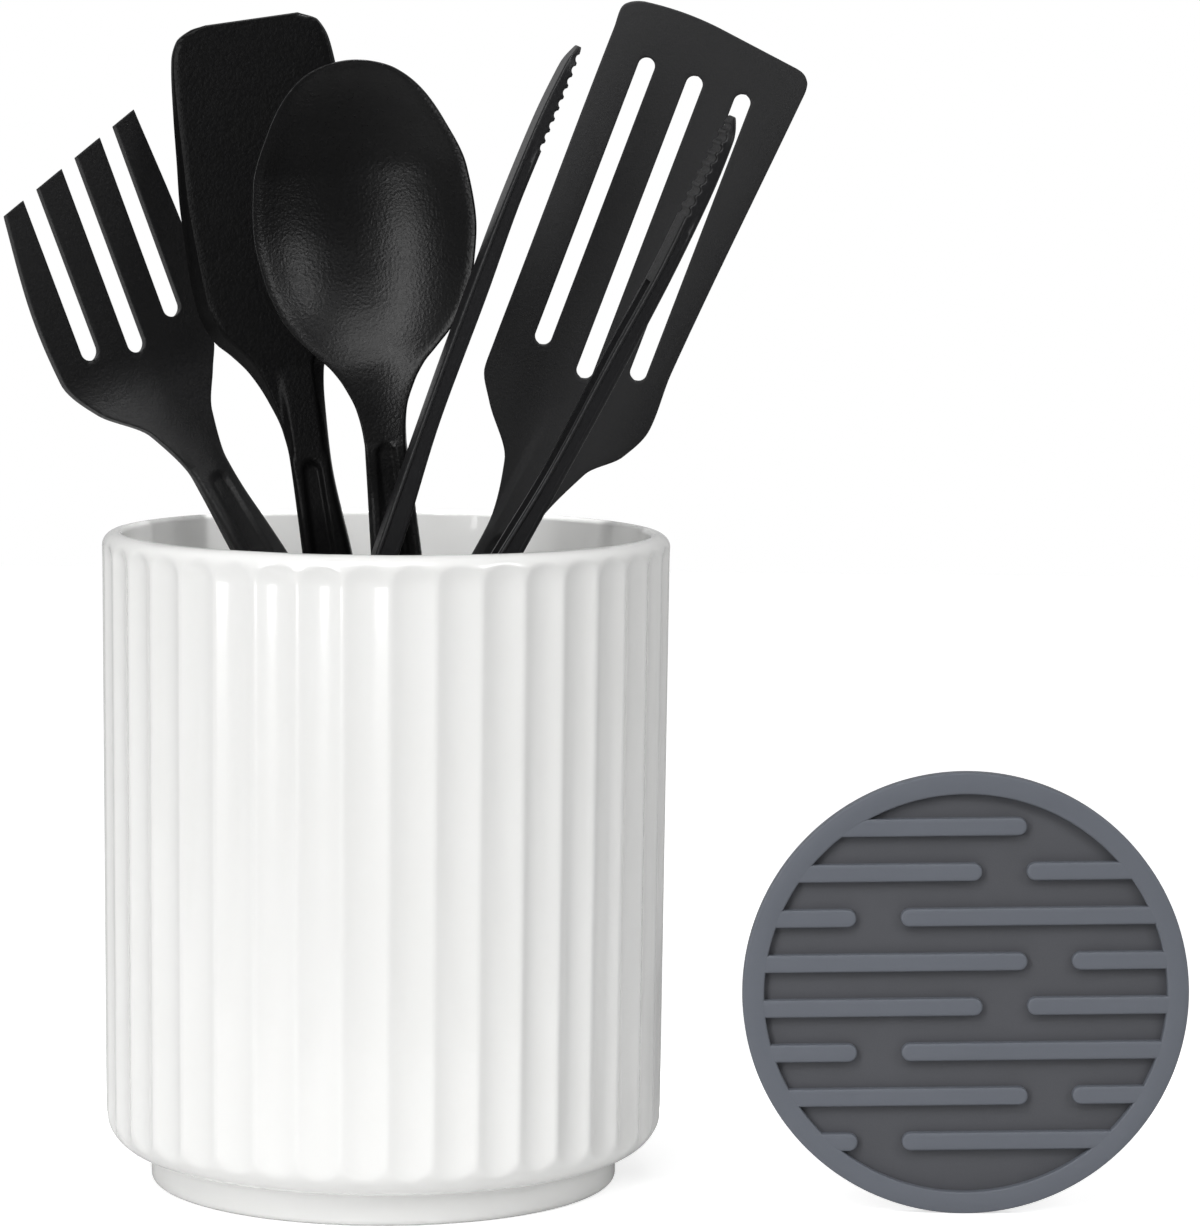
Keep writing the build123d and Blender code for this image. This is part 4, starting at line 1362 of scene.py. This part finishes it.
@dataclass
class Studio:
    """Camera, level light and a white floor and backdrop.

    Attributes:
        camera_mm: where the camera stands.
        pitch_degrees: how far it looks down.
        yaw_degrees: how far it looks to the right.
        roll_degrees: how far it is turned about its line of sight.
        lens: focal length on a 36 mm sensor.
        front_strength: light of the room in front of the object.
        back_strength: light of the room behind and above it.
        paper_glow: light added to the floor for the camera, so that it shows as white paper.
        lamps: the soft lamps.
        inside_watts: power of the narrow lamp over the crock's mouth.
        inside_place: where it hangs, in metres.
        inside_tilt_degrees: how far it looks back from straight down.
        inside_cone_degrees: width of its cone.
        floor_mm: the floor's first and last x, then its first and last y.
    """

    camera_mm: tuple[float, float, float] = (58.66, -1290.62, 287.03)
    pitch_degrees: float = 5.81
    yaw_degrees: float = -0.03
    roll_degrees: float = 0.557
    lens: float = 140.18
    front_strength: float = 0.17
    back_strength: float = 0.48
    paper_glow: float = 0.62
    lamps: tuple[Lamp, ...] = (
        Lamp("key_light", (-0.55, -0.95, 0.62), (0.0, 0.0, 0.3), (0.4, 1.25), 8.8),
        Lamp("front_light", (0.0, -0.9, 1.15), (0.03, 0.0, 0.15), (0.8, 0.6), 4.6),
        Lamp("top_light", (0.0, 0.0, 1.3), (0.03, 0.0, 0.15), (1.0, 1.0), 0.3),
        Lamp("fill_light", (0.838, -0.755, 0.66), (0.0, 0.0, 0.25), (0.35, 0.35), 2.7),
    )
    inside_watts: float = 75.0
    inside_place: tuple[float, float, float] = (0.0, -0.2, 1.3)
    inside_tilt_degrees: float = 13.0
    inside_cone_degrees: float = 10.0
    floor_mm: tuple[float, float, float, float] = (-1600.0, 1600.0, -300.0, 1800.0)

    def camera(self) -> None:
        """Makes the camera from its place, yaw, pitch and roll."""
        pitch, roll = math.radians(self.pitch_degrees), math.radians(self.roll_degrees)
        yaw = math.radians(self.yaw_degrees)
        right = np.array([math.cos(yaw), -math.sin(yaw), 0.0])
        level = math.cos(pitch)
        forward = np.array([math.sin(yaw) * level, math.cos(yaw) * level, -math.sin(pitch)])
        up = np.cross(right, forward)
        across = math.cos(roll) * right + math.sin(roll) * up
        above = -math.sin(roll) * right + math.cos(roll) * up
        data = bpy.data.cameras.new("photo_camera")
        data.lens = self.lens
        data.sensor_width = 36.0
        data.sensor_fit = "AUTO"
        data.clip_start, data.clip_end = 0.05, 20.0
        made = linked("photo_camera", data)
        turn = Matrix((across, above, -forward)).transposed()
        made.matrix_world = Matrix.Translation([v * MM for v in self.camera_mm]) @ turn.to_4x4()
        bpy.context.scene.camera = made

    def inside_lamp(self) -> None:
        """Hangs a narrow lamp in front of and over the crock's mouth, which lights its inside."""
        data = bpy.data.lights.new("inside_light", "SPOT")
        data.energy = self.inside_watts
        data.spot_size = math.radians(self.inside_cone_degrees)
        data.spot_blend = 1.0
        data.shadow_soft_size = 0.03
        made = linked("inside_light", data)
        made.location = self.inside_place
        made.rotation_euler = (math.radians(self.inside_tilt_degrees), 0.0, 0.0)

    def end_tree(self, tree: bpy.types.NodeTree, kind: str, others: bpy.types.Node, camera: bpy.types.Node) -> None:
        """Ends a tree with one shader for rays from the camera and another one for all other rays."""
        path = add_node(tree, "LightPath")
        inputs = {0: path.outputs["Is Camera Ray"], 1: others.outputs[0], 2: camera.outputs[0]}
        add_node(tree, kind, {"Surface": add_node(tree, "MixShader", inputs).outputs[0]})

    def world(self) -> None:
        """White where the camera looks, and a room that is bright behind and above, dimmer in front.

        Black nylon that mirrored a white room would show as grey, so glossy rays see the room.
        """
        world = bpy.data.worlds.new("white_room")
        bpy.context.scene.world = world
        tree = fresh_tree(world)
        white = linear_colour("#FFFFFF")
        towards = add_node(tree, "TexCoord").outputs["Generated"]
        slope = add_node(tree, "VectorMath", {0: towards, 1: (0.0, 0.6, 0.8)}, operation="DOT_PRODUCT")
        strength = add_node(tree, "MapRange", {
            "Value": slope.outputs["Value"], "From Min": -0.2, "From Max": 0.6,
            "To Min": self.front_strength, "To Max": self.back_strength,
        })
        room = add_node(tree, "Background", {"Color": white, "Strength": strength.outputs["Result"]})
        shown = add_node(tree, "Background", {"Color": white, "Strength": 1.0})
        self.end_tree(tree, "OutputWorld", room, shown)

    def floor(self) -> None:
        """White paper under the object, which keeps the soft shadow."""
        shell = Shell()
        x, y = np.meshgrid(self.floor_mm[:2], self.floor_mm[2:])
        shell.add_grid(np.stack([x, y, np.zeros_like(x)], -1))
        piece = shell.make("white_floor")
        made = bpy.data.materials.new("white_paper")
        tree = fresh_tree(made)
        paper = add_node(tree, "BsdfDiffuse", {"Color": linear_colour("#ECECEC")})
        glow = add_node(tree, "Emission", {"Color": linear_colour("#FFFFFF"), "Strength": self.paper_glow})
        both = add_node(tree, "AddShader", {0: paper.outputs[0], 1: glow.outputs[0]})
        self.end_tree(tree, "OutputMaterial", paper, both)
        piece.data.materials.append(made)

    def build(self) -> None:
        """Sets up the camera, the lights, the floor and plain colour handling."""
        self.camera()
        self.world()
        self.floor()
        for lamp in self.lamps:
            lamp.hang()
        self.inside_lamp()
        view = bpy.context.scene.view_settings
        view.view_transform = "Standard"
        view.look = "None"
        view.exposure = 0.0
        view.gamma = 1.0


def kitchen_tools() -> list[BladeTool]:
    """The spoon, both turners and the fork with their own sizes."""
    return [
        Spoon("spoon", SPOON_NYLON, StandingPlane((17.7034, -10.0029, HANDLE_FOOT), 5.7), GroovedHandle(178.0)),
        SolidTurner(
            "solid_turner", TURNER_NYLON, StandingPlane((5.7987, 3.5035, HANDLE_FOOT), 8.6),
            GroovedHandle(173.0, neck_shift=-0.9),
            head_left=(
                (-7.3, 182.0), (-10.2, 191.0), (-14.2, 199.0), (-18.7, 204.7), (-21.9, 208.0), (-23.9, 211.7),
                (-25.9, 219.0), (-26.5, 230.0), (-26.3, 244.5), (-25.2, 258.7), (-24.2, 271.0), (-22.5, 285.4),
                (-20.4, 290.3), (-16.0, 292.9), (-12.0, 293.6),
            ),
            head_right=(
                (5.1, 188.7), (6.2, 198.0), (11.0, 204.2), (17.5, 209.9), (23.5, 220.0), (26.0, 234.8),
                (24.3, 255.0), (21.6, 276.0), (20.6, 285.4), (18.3, 291.0), (13.2, 293.6),
            ),
            blade_edge=0.35, wedge_top=212.0, wedge_end=-1.05,
        ),
        SlottedTurner(
            "slotted_turner", SLOTTED_NYLON, StandingPlane((-45.1022, 14.1999, HANDLE_FOOT), -27.0),
            GroovedHandle(168.0),
            head_left=(
                (-9.7, 187.6), (-20.6, 199.6), (-26.1, 207.4), (-27.0, 214.0), (-29.3, 234.0), (-37.49, 306.0),
                (-38.2, 313.6), (-37.9, 315.6), (-36.7, 317.3), (-34.9, 318.3), (-33.3, 318.6),
            ),
            head_right=(
                (11.7, 194.0), (18.8, 203.2), (21.8, 213.0), (19.9, 229.7), (16.9, 311.0), (16.8, 313.6),
                (16.3, 316.0), (15.0, 317.6), (13.4, 318.4), (11.8, 318.6),
            ),
            blade_edge=0.4, wedge_top=223.3, wedge_end=0.6,
        ),
        Fork(
            "fork", FORK_NYLON, StandingPlane((43.1002, 27.4989, HANDLE_FOOT + 0.3755), 29.0, 28.0),
            GroovedHandle(189.0, neck_shift=-1.0),
            head_left=(
                (-11.2, 206.6), (-22.1, 219.0), (-28.1, 231.4), (-29.0, 247.0), (-26.4, 285.6), (-26.2, 287.0),
            ),
            head_right=(
                (7.6, 205.0), (13.8, 215.0), (17.9, 221.4), (21.3, 232.4), (21.6, 246.0), (19.6, 285.6),
                (19.5, 287.0),
            ),
            blade_edge=0.35, wedge_top=213.6, wedge_end=0.75,
        ),
    ]


def main() -> None:
    """Builds every piece and the studio, and logs each new piece's faces."""
    logging.basicConfig(level=logging.INFO, format="%(name)s %(message)s")
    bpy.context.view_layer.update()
    Crock().build()
    for tool in kitchen_tools():
        tool.build()
    TongsArm(Side.LEFT, "tongs_left_arm", "tongs", 5.0, 8.5, 2.3, 5.0).build()
    TongsArm(Side.RIGHT, "tongs_right_arm", "tongs_right_arm", 2.7, 4.8, 2.6, 0.0).build()
    for node, finish in (("tongs_pin", PIN_STEEL), ("tongs_spring", WIRE_STEEL)):
        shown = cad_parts[node]
        shown.data.materials.clear()
        shown.data.materials.append(finish.material())
    Mat().build()
    Studio().build()
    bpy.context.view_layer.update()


if __name__ == "__main__":
    main()
